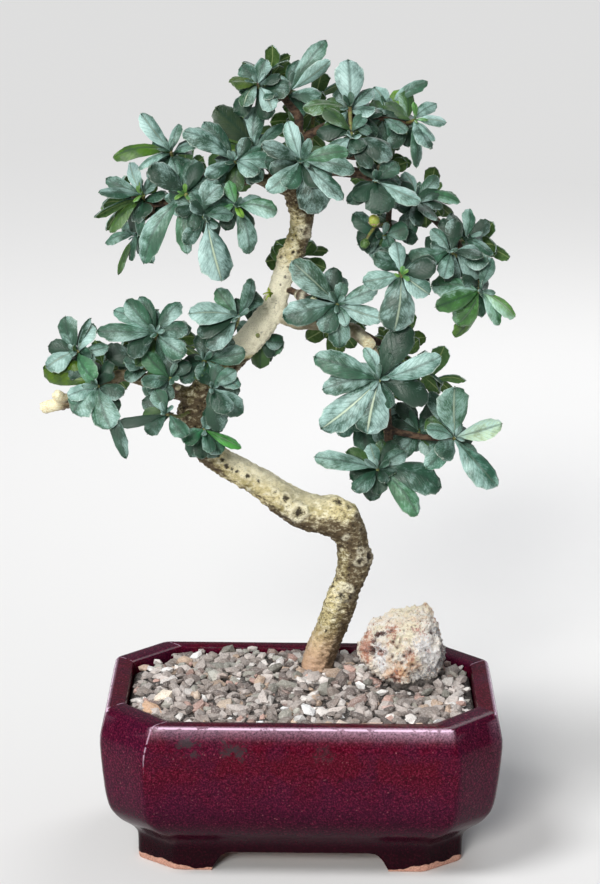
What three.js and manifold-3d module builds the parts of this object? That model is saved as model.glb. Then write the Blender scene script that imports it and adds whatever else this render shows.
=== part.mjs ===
// Fukien tea bonsai, trained in an S curve, in a glazed eight-cornered pot on four feet.
// Millimetres, +Z up. The front of the tree faces -Y. The pot stands on z = 0.
import * as THREE from "three";
import { mergeVertices } from "three/addons/utils/BufferGeometryUtils.js";
import Module from "manifold-3d";

const wasm = await Module();
wasm.setup();

// Pot: half sizes at the widest level of the wall, and how much each corner is cut off.
const POT_HALF_LENGTH = 101;
const POT_HALF_DEPTH = 74;
const RIM_CORNER = new THREE.Vector2(24, 28);
const FOOT_CORNER = new THREE.Vector2(19.4, 16.9);
const POT_HEIGHT = 81.4;
const CORNER_SOFTENING = 2.5;
const FOOT_HEIGHT = 10;
const FOOT_WALL = 12;
const FOOT_RECESS = 12;
const FRONT_ARCH_HALF = 41;
const SIDE_ARCH_HALF = 22;
// The sides of an arch splay out to the ground from a shoulder part of the way up.
const ARCH_SPLAY = 3.5;
const ARCH_SHOULDER_HEIGHT = 6;
const ARCH_SHOULDER_SPLAY = 1.05;
const POT_FLOOR = 20;
const DRAIN_HOLE_RADIUS = 7;
const DRAIN_HOLE_SIDES = 12;
const DRAIN_HOLE_X = 40;
// The wall outside and the cavity inside: heights, and how far in each is from the widest outline.
const WALL_PROFILE = [
  [0, 19.9], [1.5, 18.8], [11.8, 18.4], [15.6, 16.9], [18.8, 14.2], [22.6, 10], [27, 6.6], [32, 4.2],
  [42, 2.2], [63.6, 0], [71.8, 0.9], [79.4, 2.8], [POT_HEIGHT, 4.8],
];
const LIP_INSET = 12.5;
const CAVITY_PROFILE = [[POT_FLOOR, 25], [34, 13], [66, 9], [71, LIP_INSET]];

// What fills the pot.
const CLEARANCE = 0.3;
const SOIL_TOP = 72.5;
const SOIL_PROFILE = [[POT_FLOOR + CLEARANCE, 25], ...CAVITY_PROFILE.slice(1), [SOIL_TOP, LIP_INSET]];
const GRAVEL_SEED = 4127;
const GRAVEL_EDGE = 77.6;
const GRAVEL_MOUND = 4.2;
// How much higher than at the middle the dressing lies at the back of the pot, and lower at the front.
const GRAVEL_BACK_RISE = 2.2;
const STONE_PITCH = 10;
const STONE_SHIFT = 2;
const STONE_FOOT = [-0.8, 0.4];
const PEAK_SHIFT = 1.4;
const PEAK_HEIGHT = [1.2, 3];
// The gravel is first made as a funnel down to a point this far below, and then cut to its bed.
const FUNNEL_DEPTH = 2000;
const ROCK_CENTRE = new THREE.Vector3(52.4, 13, 95.4);
const ROCK_REACH = 26;
const ROCK_BUMP = 1.3;
// The rock's flatter sides: which way each faces, and how far it is from the rock's centre.
const ROCK_SIDES = [
  [-0.87, 0, 0.5, 20.5], [-0.62, -0.15, -0.77, 17.5], [-0.28, -0.2, 0.94, 17], [0.12, -0.1, 0.99, 21],
  [0.93, 0, 0.34, 19.5], [0.9, -0.2, -0.3, 20], [-0.1, -0.93, 0.34, 15.5], [0.4, -0.8, -0.2, 17],
  [0, 0.96, 0.26, 16], [-0.5, 0.8, -0.1, 17], [0, 0, -1, 21.5], [-0.5, -0.75, 0.1, 17.5],
];

// Wood: every limb is [x, y, z, radius] at the points that it passes through.
const TRUNK = [
  [7, 30, 42, 9.4], [7.5, 30, 70, 9.2], [8, 30, 82, 8.5], [13, 29, 97, 8.1], [19, 28, 113, 7.8],
  [24, 27, 128, 7.7], [26, 26, 142, 7.9], [25, 26, 153, 8.6], [19, 25, 161, 9.6], [10, 25, 164, 9.6],
  [0, 25, 166.5, 9.4], [-10, 25, 172.5, 8.6], [-22, 25, 181, 7.2], [-33, 24, 187, 6.8], [-43, 24, 193, 6.7],
  [-51, 24, 200, 6.8], [-56, 24, 208, 6.6], [-57, 23, 218, 6.2], [-55, 23, 227, 6], [-49, 23, 234, 6.2],
  [-42, 24, 242, 6.7], [-33, 25, 251, 7.2], [-25, 26, 260, 7.2], [-18, 26, 270, 6.6], [-14, 26, 280, 5.8],
  [-11, 26, 291, 5.4], [-7, 26, 301, 5.5], [-3, 26, 312, 5.8], [-2, 26, 321, 5.8], [-5, 26, 329, 5.4],
  [-8, 26, 337, 4.2],
];
const BRANCHES = {
  lowerLeft: [[-54, 23, 225, 4.4], [-74, 22, 233, 3.8], [-92, 20, 239, 3.6], [-108, 20, 231, 3.5],
    [-121, 21, 224, 3.6], [-134, 22, 220, 3.2]],
  lowerLeftFork: [[-121, 21, 224, 3], [-127, 17, 229, 2.8]],
  lowerLeftInner: [[-79, 21, 236, 2.2], [-76, 16, 250, 1.9], [-75, 12, 257, 1.6]],
  lowerLeftOuter: [[-97, 20, 238, 2.4], [-107, 14, 245, 1.9], [-114, 12, 249, 1.6]],
  lowerLeftBack: [[-74, 22, 233, 2.4], [-80, 38, 244, 1.9], [-86, 46, 252, 1.6]],
  right: [[-16, 26, 270, 4.4], [-3, 22, 266, 3.9], [13, 20, 266, 3.7], [27, 18, 262, 3.7]],
  rightStub: [[26, 18, 262, 3.6], [33, 6, 258, 3.3]],
  rightDrop: [[23, 19, 264, 3], [33, 13, 256, 2.8], [38, 9, 245, 2.7], [41, 8, 229, 2.6], [43, 8, 208, 2.3],
    [39, 6, 196, 1.8]],
  rightDropOut: [[42, 8, 214, 2.1], [58, 10, 210, 1.9], [74, 12, 208, 1.6]],
  rightBack: [[10, 20, 266, 2.6], [28, 38, 258, 2.1], [46, 50, 246, 1.8], [62, 52, 232, 1.5]],
  middleLeft: [[-50, 23, 233, 2.2], [-43, 14, 252, 1.8], [-35, 8, 267, 1.5]],
  middleBack: [[-13, 26, 283, 2.2], [-9, 44, 286, 1.8], [-4, 56, 290, 1.5]],
  middleRight: [[-13, 26, 284, 2.2], [2, 14, 280, 1.8], [13, 8, 279, 1.5]],
  crownLeft: [[-8, 26, 333, 3.8], [-26, 18, 341, 3.3], [-46, 14, 336, 2.8], [-61, 12, 330, 2.4],
    [-78, 15, 327, 2], [-87, 18, 330, 1.6]],
  crownLeftUp: [[-41, 15, 338, 2.1], [-54, 14, 346, 1.8], [-66, 12, 350, 1.5]],
  crownLeftHigh: [[-9, 26, 335, 2.2], [-20, 20, 346, 1.9], [-30, 16, 351, 1.5]],
  crownTop: [[-8, 26, 332, 3.4], [-5, 26, 353, 2.9], [-4, 26, 370, 2.4], [-12, 25, 380, 1.9],
    [-23, 24, 383, 1.5]],
  crownTopRight: [[-5, 26, 358, 2.4], [9, 22, 366, 2.2], [21, 21, 369, 2], [39, 24, 370, 1.7],
    [52, 28, 367, 1.5]],
  crownRight: [[-8, 26, 333, 3.6], [12, 22, 344, 3], [29, 18, 343, 2.7], [44, 16, 334, 2.4],
    [62, 16, 323, 2.1], [75, 18, 310, 1.9], [83, 18, 296, 1.7], [87, 18, 288, 1.5]],
  crownRightDrop: [[42, 16, 336, 2], [41, 8, 319, 1.7], [46, 2, 303, 1.4]],
  crownBack: [[-8, 26, 333, 3], [-4, 44, 347, 2.3], [2, 66, 352, 1.5]],
  crownBackLeft: [[-6, 38, 343, 2.2], [-30, 52, 342, 1.9], [-58, 58, 330, 1.5]],
  crownBackRight: [[-2, 50, 349, 2.1], [28, 58, 345, 1.8], [56, 56, 322, 1.5]],
  crownFront: [[-8, 26, 334, 2.4], [-5, 12, 344, 1.9], [-4, 2, 349, 1.5]],
  stubTop: [[9, 22, 366, 1.9], [12, 13, 362, 1.6]],
  stubRight: [[29, 18, 343, 1.9], [37, 9, 348, 1.6]],
  stubLeft: [[-78, 15, 327, 1.9], [-76, 6, 320, 1.7]],
  stubLow: [[-66, 22, 230, 2], [-64, 12, 234, 1.8]],
};
// Bulges and knots on the trunk: where they are, how far they stand out and how wide they spread.
const KNOTS = [
  { at: [11, 24, 122], height: 2.2, spread: 6 }, { at: [35, 22, 139], height: 3.4, spread: 5 },
  { at: [21, 24, 171], height: 4.5, spread: 8.5 }, { at: [-5, 17, 163], height: 2, spread: 6 },
  { at: [-10, 17, 175], height: 1.4, spread: 5 }, { at: [-63, 21, 219], height: 2.6, spread: 5 },
  { at: [-15, 21, 297], height: 2, spread: 4.5 }, { at: [-6, 20, 292], height: 1.6, spread: 4.5 },
  { at: [22, 38, 118], height: 2, spread: 7 }, { at: [-30, 33, 192], height: 2, spread: 7 },
  { at: [-20, 33, 262], height: 1.8, spread: 6 },
];
const LIMB_SIDE = new THREE.Vector3(0.9, -0.3, 0.31);
const TRUNK_SIDES = 8;
const TRUNK_STEPS = 42;
const BRANCH_SIDES = 6;
const TWIG_SIDES = 4;
const TWIG_RADIUS = 2.5;

// Leafy shoots. Each rosette sits at the end of its own slim shoot, which leaves the wood at "from".
// A leaf is [x, y, z] from the middle of the rosette to its tip, its width, and how far it is rolled
// about its own length in degrees. "more" is how many further leaves stand round the rosette.
const SHOOTS = [
  { name: "crown_left_1", from: [-58, 12, 331], at: [-59, -16, 337], facing: [-2, -8, 6], more: 0, leaves: [
    [-17, -7, 15, 12], [6, 7, 16, 9], [-22, -11, -31, 12], [0, -14, -26, 9], [12, 4, 9, 10]] },
  { name: "crown_left_1", from: [-59, -16, 337], at: [-48, -20, 324], facing: [1, -8, 5], more: 1, leaves: [
    [8, -9, -28, 17], [-10, -11, -11, 8], [-7, -5, 8, 7]] },
  { name: "crown_left_2", from: [-42, 15, 337], at: [-34, -10, 330], facing: [2, -8, 5], more: 0, leaves: [
    [7, -7, -22, 10], [20, -9, -1, 10], [-4, 0, 12, 7], [-11, -7, -2, 6], [4, -11, -6, 4]] },
  { name: "crown_left_3", from: [-82, 16, 328], at: [-81, 6, 333], facing: [-6, -5, 6], more: 0, leaves: [
    [-22, -4, 2, 9], [-19, 5, 8, 8], [-8, 7, 16, 8], [-16, -7, -17, 9], [-24, -4, -10, 8, 70],
    [-2, -11, -17, 8]] },
  { name: "crown_left_4", from: [-66, 12, 350], at: [-67, -2, 356], facing: [-3, -5, 8], more: 0, leaves: [
    [-15, 0, 19, 9], [-28, -5, 1, 11], [-16, -11, -5, 7], [3, 7, 14, 7], [14, -4, 6, 9]] },
  { name: "crown_left_5", from: [-30, 16, 351], at: [-36, -6, 352], facing: [0, -7, 7], more: 1, leaves: [
    [-24, -5, 16, 11], [-15, 5, 19, 10], [-14, -11, -7, 9], [11, -11, -5, 9]] },
  { name: "crown_left_6", from: [-28, 17, 350], at: [-26, 14, 356], facing: [0, -5, 8], more: 1, leaves: [
    [-19, 0, 21, 17], [1, 4, 22, 11], [15, 5, 14, 8], [-7, -16, -13, 8]] },
  { name: "crown_left_7", from: [-78, 15, 327], at: [-86, 22, 309], facing: [-6, -5, 3], more: 2, leaves: [
    [-9, -5, -19, 6], [-16, 0, -4, 7], [-4, 5, 13, 7], [7, -5, -15, 7]] },
  { name: "crown_top_1", from: [-22, 24, 383], at: [-25, 12, 388], facing: [-2, -5, 8], more: 0, leaves: [
    [-14, -4, 1, 12], [-7, -11, -8, 9], [-8, 4, 10, 9], [4, 5, 12, 8], [11, 0, 5, 8], [7, -9, -11, 9]] },
  { name: "crown_top_2", from: [-11, 25, 379], at: [-8, 34, 383], facing: [2, -5, 8], more: 1, leaves: [
    [17, 5, 25, 10], [20, -2, 15, 8, 75], [4, 11, 14, 8], [-11, -11, -12, 8]] },
  { name: "crown_top_3", from: [21, 21, 369], at: [21, 8, 377], facing: [0, -6, 8], more: 1, leaves: [
    [-1, 5, 24, 15], [-23, -5, 2, 11], [-12, -9, -9, 8], [11, 7, 11, 8]] },
  { name: "crown_top_3", from: [21, 8, 377], at: [22, -8, 363], facing: [0, -7, 7], more: 0, leaves: [
    [20, -5, -7, 13], [-11, -7, -9, 9], [10, -9, -14, 8]] },
  { name: "crown_top_4", from: [38, 24, 370], at: [40, 32, 374], facing: [1, -6, 7], more: 1, leaves: [
    [-6, 5, 11, 11], [21, 7, 13, 7], [-8, -9, -8, 9], [9, 7, 10, 8]] },
  { name: "crown_top_5", from: [50, 27, 368], at: [54, 20, 370], facing: [5, -6, 6], more: 0, leaves: [
    [16, 0, 0, 8], [11, -7, -8, 7], [8, -14, -13, 10], [4, -11, -21, 8], [13, 7, 8, 7]] },
  { name: "crown_front", from: [-4, 2, 349], at: [-3, -20, 355], facing: [0, -9, 4], more: 0, leaves: [
    [-18, -7, 9, 9], [-6, 2, 19, 8], [4, -7, 11, 5], [23, -4, 6, 9], [26, -7, -3, 9], [-16, -9, -14, 10],
    [9, -5, -25, 17], [21, -11, -17, 9]] },
  { name: "crown_right_1", from: [35, 17, 339], at: [34, -14, 344], facing: [1, -8, 6], more: 1, leaves: [
    [2, -9, -15, 15], [22, -5, -9, 10], [-11, -9, -8, 9], [11, 4, 8, 9]] },
  { name: "crown_right_2", from: [54, 16, 328], at: [55, 24, 331], facing: [4, -6, 7], more: 1, leaves: [
    [22, -4, 0, 7], [11, 5, 10, 8], [9, -9, -12, 8], [-5, 7, 13, 8]] },
  { name: "crown_right_3", from: [76, 18, 309], at: [82, 30, 309], facing: [6, -5, 6], more: 1, leaves: [
    [11, 4, 8, 8], [0, -9, -10, 8], [14, -4, -7, 9], [2, 7, 14, 8]] },
  { name: "crown_right_7", from: [79, 18, 302], at: [71, 2, 307], facing: [3, -8, 5], more: 1, leaves: [
    [-22, -7, -4, 12], [-10, 0, 11, 8], [-4, -9, -12, 9]] },
  { name: "crown_right_4", from: [46, 2, 303], at: [47, -20, 298], facing: [2, -8, 4], more: 0, leaves: [
    [-3, -5, -27, 18], [-19, -5, -3, 10], [17, -4, 5, 11], [14, -7, -9, 11], [-2, 4, 15, 9]] },
  { name: "crown_right_5", from: [87, 18, 289], at: [87, 4, 286], facing: [6, -6, 5], more: 0, leaves: [
    [-24, -5, 4, 15], [-11, -7, -16, 13], [-25, -13, -8, 10], [19, -4, -11, 9], [11, -9, -15, 9],
    [7, 4, 15, 9], [-11, -2, -25, 9]] },
  { name: "crown_right_6", from: [42, 7, 315], at: [38, 2, 314], facing: [0, -8, 5], more: 1, leaves: [
    [-13, -5, -4, 13], [-16, -2, 11, 10], [11, -2, 4, 10], [3, -11, -8, 8]] },
  { name: "middle_right", from: [13, 8, 279], at: [16, -10, 282], facing: [0, -9, 4], more: 0, leaves: [
    [-22, -4, 22, 14], [-27, -5, -6, 14], [3, -2, 11, 7], [20, -4, 9, 9], [23, -5, -7, 10],
    [-6, -9, -13, 11], [5, -9, -9, 6], [2, -7, -21, 11]] },
  { name: "middle_left", from: [-35, 8, 267], at: [-33, -8, 275], facing: [-3, -8, 5], more: 0, leaves: [
    [-25, -5, 2, 13], [7, 0, 19, 9, 60], [-11, 2, 14, 9], [-20, -7, -8, 11], [-15, -9, -14, 10]] },
  { name: "middle_back", from: [-24, 18, 260], at: [-23, 37, 254], facing: [2, -7, 3], more: 0, leaves: [
    [12, -2, -4, 12], [5, 2, -12, 9], [-3, 6, 13, 9]] },
  { name: "lower_right_1", from: [38, 9, 243], at: [37, -22, 246], facing: [0, -9, 4], more: 0, leaves: [
    [-32, -5, 13, 13], [-28, -7, -3, 11], [-29, -5, -24, 16], [-6, -7, -26, 19], [24, -5, -9, 14],
    [30, -4, 13, 11], [14, 0, 27, 15], [-7, -2, 16, 7], [5, -5, 14, 6]] },
  { name: "lower_right_2", from: [39, 6, 197], at: [37, -12, 198], facing: [0, -7, 7], more: 0, leaves: [
    [-32, -4, 7, 10], [-12, -11, -9, 10], [14, 4, 8, 10], [32, -5, -7, 16], [20, -11, -21, 11],
    [3, -13, -5, 6], [-4, 7, 11, 8]] },
  { name: "lower_right_3", from: [73, 12, 208], at: [76, -4, 213], facing: [3, -7, 6], more: 0, leaves: [
    [-1, 2, 26, 18], [-13, 9, 21, 12], [24, -3, 8, 12], [21, -7, -24, 15], [-14, -7, 6, 10],
    [-14, -11, -13, 10]] },
  { name: "lower_right_4", from: [58, 10, 210], at: [59, 26, 213], facing: [1, -7, 6], more: 1, leaves: [
    [-14, -9, -8, 12], [-12, -2, 8, 11], [6, -11, -13, 10], [10, 5, 12, 9]] },
  { name: "lower_right_5", from: [42, 8, 214], at: [29, 24, 219], facing: [-1, -6, 5], more: 1, leaves: [
    [-12, -9, -10, 10], [2, -11, -17, 12], [-11, 0, 4, 10], [12, 0, 4, 9]] },
  { name: "lower_left_1", from: [-75, 12, 257], at: [-74, -8, 266], facing: [-3, -8, 5], more: 0, leaves: [
    [-15, 0, 17, 10], [-29, -5, 3, 10], [-21, 0, 12, 9], [-9, 5, 18, 8], [11, 4, 16, 10], [16, -4, 4, 10],
    [15, -9, -9, 11], [-13, -11, -9, 10], [-5, -13, -1, 5]] },
  { name: "lower_left_2", from: [-113, 12, 249], at: [-114, -2, 255], facing: [-6, -7, 4], more: 2, leaves: [
    [-15, -5, -8, 12], [13, -9, -13, 12], [-6, 2, 18, 11], [7, 0, 14, 10], [-15, 0, 3, 9]] },
  { name: "lower_left_3", from: [-103, 20, 233], at: [-103, -14, 240], facing: [-3, -8, 5], more: 0, leaves: [
    [-12, -5, -13, 16], [7, -9, -20, 14], [-16, -2, -1, 10], [15, -9, -35, 7],
    [-29, 12, 7, 15]] },
  { name: "lower_left_4", from: [-78, 20, 242], at: [-83, 14, 244], facing: [-2, -7, 6], more: 1, leaves: [
    [-18, 0, 11, 11], [-11, -7, 2, 9], [4, 5, 10, 8]] },
  { name: "lower_left_5", from: [-72, 22, 232], at: [-67, -8, 243], facing: [-1, -8, 6], more: 0, leaves: [
    [-13, 0, 14, 10], [-13, -9, 1, 9], [0, 5, 15, 8], [10, 0, 9, 8]] },
  { name: "lower_left_6", from: [-44, 15, 248], at: [-51, 2, 250], facing: [2, -8, 5], more: 0, leaves: [
    [-2, 4, 13, 9], [21, -5, 5, 10], [17, -9, -12, 10], [-13, -9, -9, 9]] },
  { name: "lower_left_7", from: [-49, 22, 236], at: [-46, -12, 239], facing: [1, -8, 4], more: 0, leaves: [
    [9, -10, -10, 11], [16, 1, -13, 12], [4, -3, -22, 11], [12, 3, 8, 8]] },
  { name: "lower_left_8", from: [-57, 23, 220], at: [-69, -14, 226], facing: [-2, -8, 5], more: 0, leaves: [
    [-6, 2, 12, 9], [-26, -5, -5, 6], [-10, -9, -9, 9], [9, -9, -10, 9]] },
  { name: "lower_left_9", from: [-56, 24, 210], at: [-50, -4, 216], facing: [2, -7, 5], more: 0, leaves: [
    [-10, -7, -5, 9], [19, -5, -7, 6], [4, -11, -10, 7], [11, 0, 3, 7]] },
  { name: "crown_back_1", from: [-58, 58, 330], at: [-62, 58, 336], facing: [-3, 8, 6], more: 5, leaves: [] },
  { name: "crown_back_1", from: [-62, 58, 336], at: [-44, 76, 326], facing: [-2, 9, 3], more: 5, leaves: [] },
  { name: "crown_back_2", from: [-30, 52, 342], at: [-32, 72, 352], facing: [-1, 8, 6], more: 5, leaves: [] },
  { name: "crown_back_3", from: [2, 65, 352], at: [4, 70, 374], facing: [0, 7, 8], more: 5, leaves: [] },
  { name: "crown_back_3", from: [4, 70, 374], at: [-4, 84, 350], facing: [0, 9, 4], more: 5, leaves: [] },
  { name: "crown_back_4", from: [28, 58, 345], at: [36, 62, 362], facing: [2, 8, 6], more: 5, leaves: [] },
  { name: "crown_back_5", from: [56, 56, 322], at: [64, 58, 326], facing: [5, 8, 4], more: 5, leaves: [] },
  { name: "crown_back_6", from: [39, 57, 336], at: [40, 74, 338], facing: [1, 9, 4], more: 5, leaves: [] },
  { name: "crown_back_7", from: [-19, 24, 382], at: [-20, 54, 388], facing: [-1, 6, 8], more: 5, leaves: [] },
  { name: "crown_back_8", from: [-86, 18, 330], at: [-92, 42, 322], facing: [-7, 6, 4], more: 5, leaves: [] },
  { name: "crown_back_9", from: [81, 18, 299], at: [88, 48, 302], facing: [7, 6, 4], more: 5, leaves: [] },
  { name: "lower_back_1", from: [-86, 46, 252], at: [-88, 50, 257], facing: [-4, 8, 4], more: 5, leaves: [] },
  { name: "lower_back_1", from: [-88, 50, 257], at: [-62, 52, 246], facing: [1, 9, 4], more: 5, leaves: [] },
  { name: "lower_back_2", from: [-100, 20, 235], at: [-104, 44, 238], facing: [-6, 7, 3], more: 5,
    leaves: [] },
  { name: "lower_back_3", from: [-4, 56, 290], at: [-2, 64, 293], facing: [0, 9, 4], more: 5, leaves: [] },
  { name: "lower_back_4", from: [47, 50, 245], at: [48, 58, 249], facing: [2, 8, 5], more: 5, leaves: [] },
  { name: "lower_back_5", from: [61, 52, 233], at: [68, 54, 229], facing: [5, 7, 4], more: 5, leaves: [] },
  { name: "lower_back_6", from: [22, 32, 261], at: [12, 48, 262], facing: [0, 8, 3], more: 5, leaves: [] },
];
const SHOOT_RADIUS = 1;
const SHOOT_FOOT_RADIUS = 1.15;
const SHOOT_SIDES = 4;
const SHOOT_STEPS = 2;
// A shoot's middle hangs this share of its run below the straight line.
const SHOOT_SAG = 0.06;
// Leaves join the last stretch of their shoot, the first of them this far below its end.
const ROOT_DEPTH = 1;
const ROOT_STAGGER = 4;
const RIB_THICKNESS = 1.3;
const BLADE_ARCH = 0.09;
const BLADE_DROOP = 0.2;
// Half of a blade's outline: how far along it, and how far out in blade widths. A grown blade has a
// tooth, a notch and a second tooth before its tip; a young one is only rounded.
const BLADE_OUTLINE = [[0, 0], [0.4, 0.31], [0.74, 0.5], [0.82, 0.36], [0.95, 0.3], [1, 0]];
const YOUNG_OUTLINE = [[0, 0], [0.45, 0.37], [0.8, 0.5], [0.96, 0.26], [1, 0]];
const YOUNG_WIDTH = 9.4;
const BLADE_RIB = 0.55;
const FREE_FROM = 0.3;
const ROSETTE_SEED = 100;
const ROSETTE_SIDE = new THREE.Vector3(1, 0.2, 0.1);
// Further leaves: how far they lean from the way that the rosette faces, in radians, when they stand
// behind placed leaves or alone, and what their size and roll are drawn from.
const LEAN_BEHIND = [1.7, 2.2];
const LEAN_ALONE = [0.75, 1.5];
const FURTHER_LENGTH = [14, 21];
const FURTHER_WIDTH = [0.425, 0.575];
const FURTHER_ROLL = [-0.4, 0.4];
const GOLDEN_ANGLE = Math.PI * (3 - Math.sqrt(5));
// How a leaf gives way to what it would touch: turned round the rosette, lifted or shortened.
const WAYS_CLEAR = [
  { turn: 0, lift: 0, scale: 1 }, { turn: 0, lift: 0.25, scale: 1 },
  { turn: 0.3, lift: 0.1, scale: 1 }, { turn: -0.3, lift: 0.1, scale: 1 },
  { turn: 0, lift: -0.25, scale: 1 }, { turn: 0.2, lift: 0.5, scale: 0.9 },
  { turn: -0.2, lift: 0.5, scale: 0.9 }, { turn: 0.6, lift: 0.3, scale: 0.85 },
  { turn: -0.6, lift: 0.3, scale: 0.85 }, { turn: 0, lift: 0.9, scale: 0.8 },
  { turn: 0, lift: 0.2, scale: 0.6 },
];

// Berries and flower buds on their stalks, each stalk a limb like those of the wood.
const BERRY_STALK = [[41, 8, 320, 1.2], [36, 0, 321, 1], [33, -7, 322, 0.9]];
const BERRY_SIDE_STALK = [[35, -2, 321, 1], [31, -7, 316, 0.9], [29, -8, 312, 0.9]];
const BERRY_RADIUS = 2.4;
const FLOWER_STALK = [[1, 15, 280, 1.2], [4, 4, 283, 1], [5, -2, 286, 0.9]];
const FLOWER_BUDS = [[3, -4, 289, 0.8], [8, -4, 286, 0.8], [4, -5, 283, 0.8]];
const BUD_RADIUS = 1.9;
const BUD_STRETCH = 1.25;

const GLAZE = new THREE.MeshStandardMaterial({ color: 0x5a1026, roughness: 0.25, metalness: 0 });
const COMPOST = new THREE.MeshStandardMaterial({ color: 0x2b211a, roughness: 0.95, metalness: 0 });
const STONE_CHIPS = new THREE.MeshStandardMaterial({ color: 0x8a8580, roughness: 0.85, metalness: 0 });
const ROCK_STONE = new THREE.MeshStandardMaterial({ color: 0xe3d3b5, roughness: 0.9, metalness: 0 });
const BARK = new THREE.MeshStandardMaterial({ color: 0xa89c74, roughness: 0.85, metalness: 0 });
const LEAF = new THREE.MeshStandardMaterial({ color: 0x4f7a6a, roughness: 0.4, metalness: 0 });
const BERRY_SKIN = new THREE.MeshStandardMaterial({ color: 0xb9c24a, roughness: 0.35, metalness: 0 });
const PETAL = new THREE.MeshStandardMaterial({ color: 0xe9ecc0, roughness: 0.6, metalness: 0 });

function seededDraw(seed) {
  let state = seed;
  return (low, high) => {
    state = (state * 16807) % 2147483647;
    return low + (high - low) * (state / 2147483647);
  };
}

function solid(geometry) {
  const bare = geometry.clone();
  bare.deleteAttribute("normal");
  bare.deleteAttribute("uv");
  const merged = mergeVertices(bare, 1e-4);
  const corners = merged.index.array;
  const triangles = [];
  for (let i = 0; i < corners.length; i += 3) {
    const [a, b, c] = corners.slice(i, i + 3);
    if (a !== b && b !== c && c !== a) {
      triangles.push(a, b, c);
    }
  }
  return new wasm.Manifold(new wasm.Mesh({
    numProp: 3,
    vertProperties: Float32Array.from(merged.attributes.position.array),
    triVerts: Uint32Array.from(triangles),
  }));
}

// The cut at a seat can leave a scrap of the shoot's end on the far side of the wood.
function largest(body) {
  return body.decompose().reduce((best, each) => (each.volume() > best.volume() ? each : best));
}

function namedMesh(name, body, material) {
  const shape = body.getMesh();
  const geometry = new THREE.BufferGeometry();
  geometry.setAttribute("position", new THREE.BufferAttribute(shape.vertProperties, 3));
  geometry.setIndex(new THREE.BufferAttribute(shape.triVerts, 1));
  geometry.computeVertexNormals();
  const mesh = new THREE.Mesh(geometry, material);
  mesh.name = name;
  return mesh;
}

// The eight-cornered outline at one level, each corner softened by a short facet.
function potOutline(z, inset, cornerCut) {
  const x = POT_HALF_LENGTH - inset;
  const y = POT_HALF_DEPTH - inset;
  const sharp = [
    [x, y - cornerCut.y], [x - cornerCut.x, y], [cornerCut.x - x, y], [-x, y - cornerCut.y],
    [-x, cornerCut.y - y], [cornerCut.x - x, -y], [x - cornerCut.x, -y], [x, cornerCut.y - y],
  ].map(([px, py]) => new THREE.Vector3(px, py, z));
  const soft = [];
  sharp.forEach((corner, index) => {
    for (const neighbour of [sharp[(index + 7) % 8], sharp[(index + 1) % 8]]) {
      const step = neighbour.clone().sub(corner).setLength(CORNER_SOFTENING);
      soft.push(corner.clone().add(step));
    }
  });
  return soft;
}

// A closed solid through a stack of outlines that have as many points each.
function loft(outlines) {
  const count = outlines[0].length;
  const points = outlines.flat();
  const last = (outlines.length - 1) * count;
  const indices = [];
  for (let level = 0; level < outlines.length - 1; level += 1) {
    for (let i = 0; i < count; i += 1) {
      const a = level * count + i;
      const b = level * count + ((i + 1) % count);
      indices.push(a, b, b + count, a, b + count, a + count);
    }
  }
  for (let i = 1; i < count - 1; i += 1) {
    indices.push(0, i + 1, i, last, last + i, last + i + 1);
  }
  const geometry = new THREE.BufferGeometry().setFromPoints(points);
  geometry.setIndex(indices);
  return solid(geometry);
}

function potSolid(profile, grow = 0) {
  return loft(profile.map(([z, inset]) => {
    const share = THREE.MathUtils.clamp(z / POT_HEIGHT, 0, 1);
    return potOutline(z, inset + grow, FOOT_CORNER.clone().lerp(RIM_CORNER, share));
  }));
}

// The arch cut between two feet, wider at the ground than above.
function footArch(halfWidth, length) {
  const outline = new THREE.Shape();
  outline.moveTo(-halfWidth - ARCH_SPLAY, -1);
  outline.lineTo(halfWidth + ARCH_SPLAY, -1);
  outline.lineTo(halfWidth + ARCH_SHOULDER_SPLAY, ARCH_SHOULDER_HEIGHT);
  outline.lineTo(halfWidth - ARCH_SPLAY, FOOT_HEIGHT);
  outline.lineTo(ARCH_SPLAY - halfWidth, FOOT_HEIGHT);
  outline.lineTo(-halfWidth - ARCH_SHOULDER_SPLAY, ARCH_SHOULDER_HEIGHT);
  const arch = new THREE.ExtrudeGeometry(outline, { depth: length, bevelEnabled: false });
  arch.translate(0, 0, -length / 2);
  arch.rotateX(Math.PI / 2);
  return arch;
}

function drainHole(x) {
  const radius = DRAIN_HOLE_RADIUS;
  const hole = new THREE.CylinderGeometry(radius, radius, 2 * POT_FLOOR, DRAIN_HOLE_SIDES);
  hole.rotateX(Math.PI / 2);
  hole.translate(x, 0, POT_FLOOR);
  return solid(hole);
}

function makePot() {
  const footInset = WALL_PROFILE[0][1] + FOOT_WALL;
  const sideArch = footArch(SIDE_ARCH_HALF, 3 * POT_HALF_LENGTH);
  sideArch.rotateZ(Math.PI / 2);
  return potSolid(WALL_PROFILE)
    .subtract(potSolid([...CAVITY_PROFILE, [POT_HEIGHT + 1, LIP_INSET]]))
    .subtract(potSolid([[-1, footInset], [FOOT_RECESS, footInset]]))
    .subtract(solid(footArch(FRONT_ARCH_HALF, 3 * POT_HALF_DEPTH)))
    .subtract(solid(sideArch))
    .subtract(drainHole(DRAIN_HOLE_X))
    .subtract(drainHole(-DRAIN_HOLE_X));
}

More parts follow.
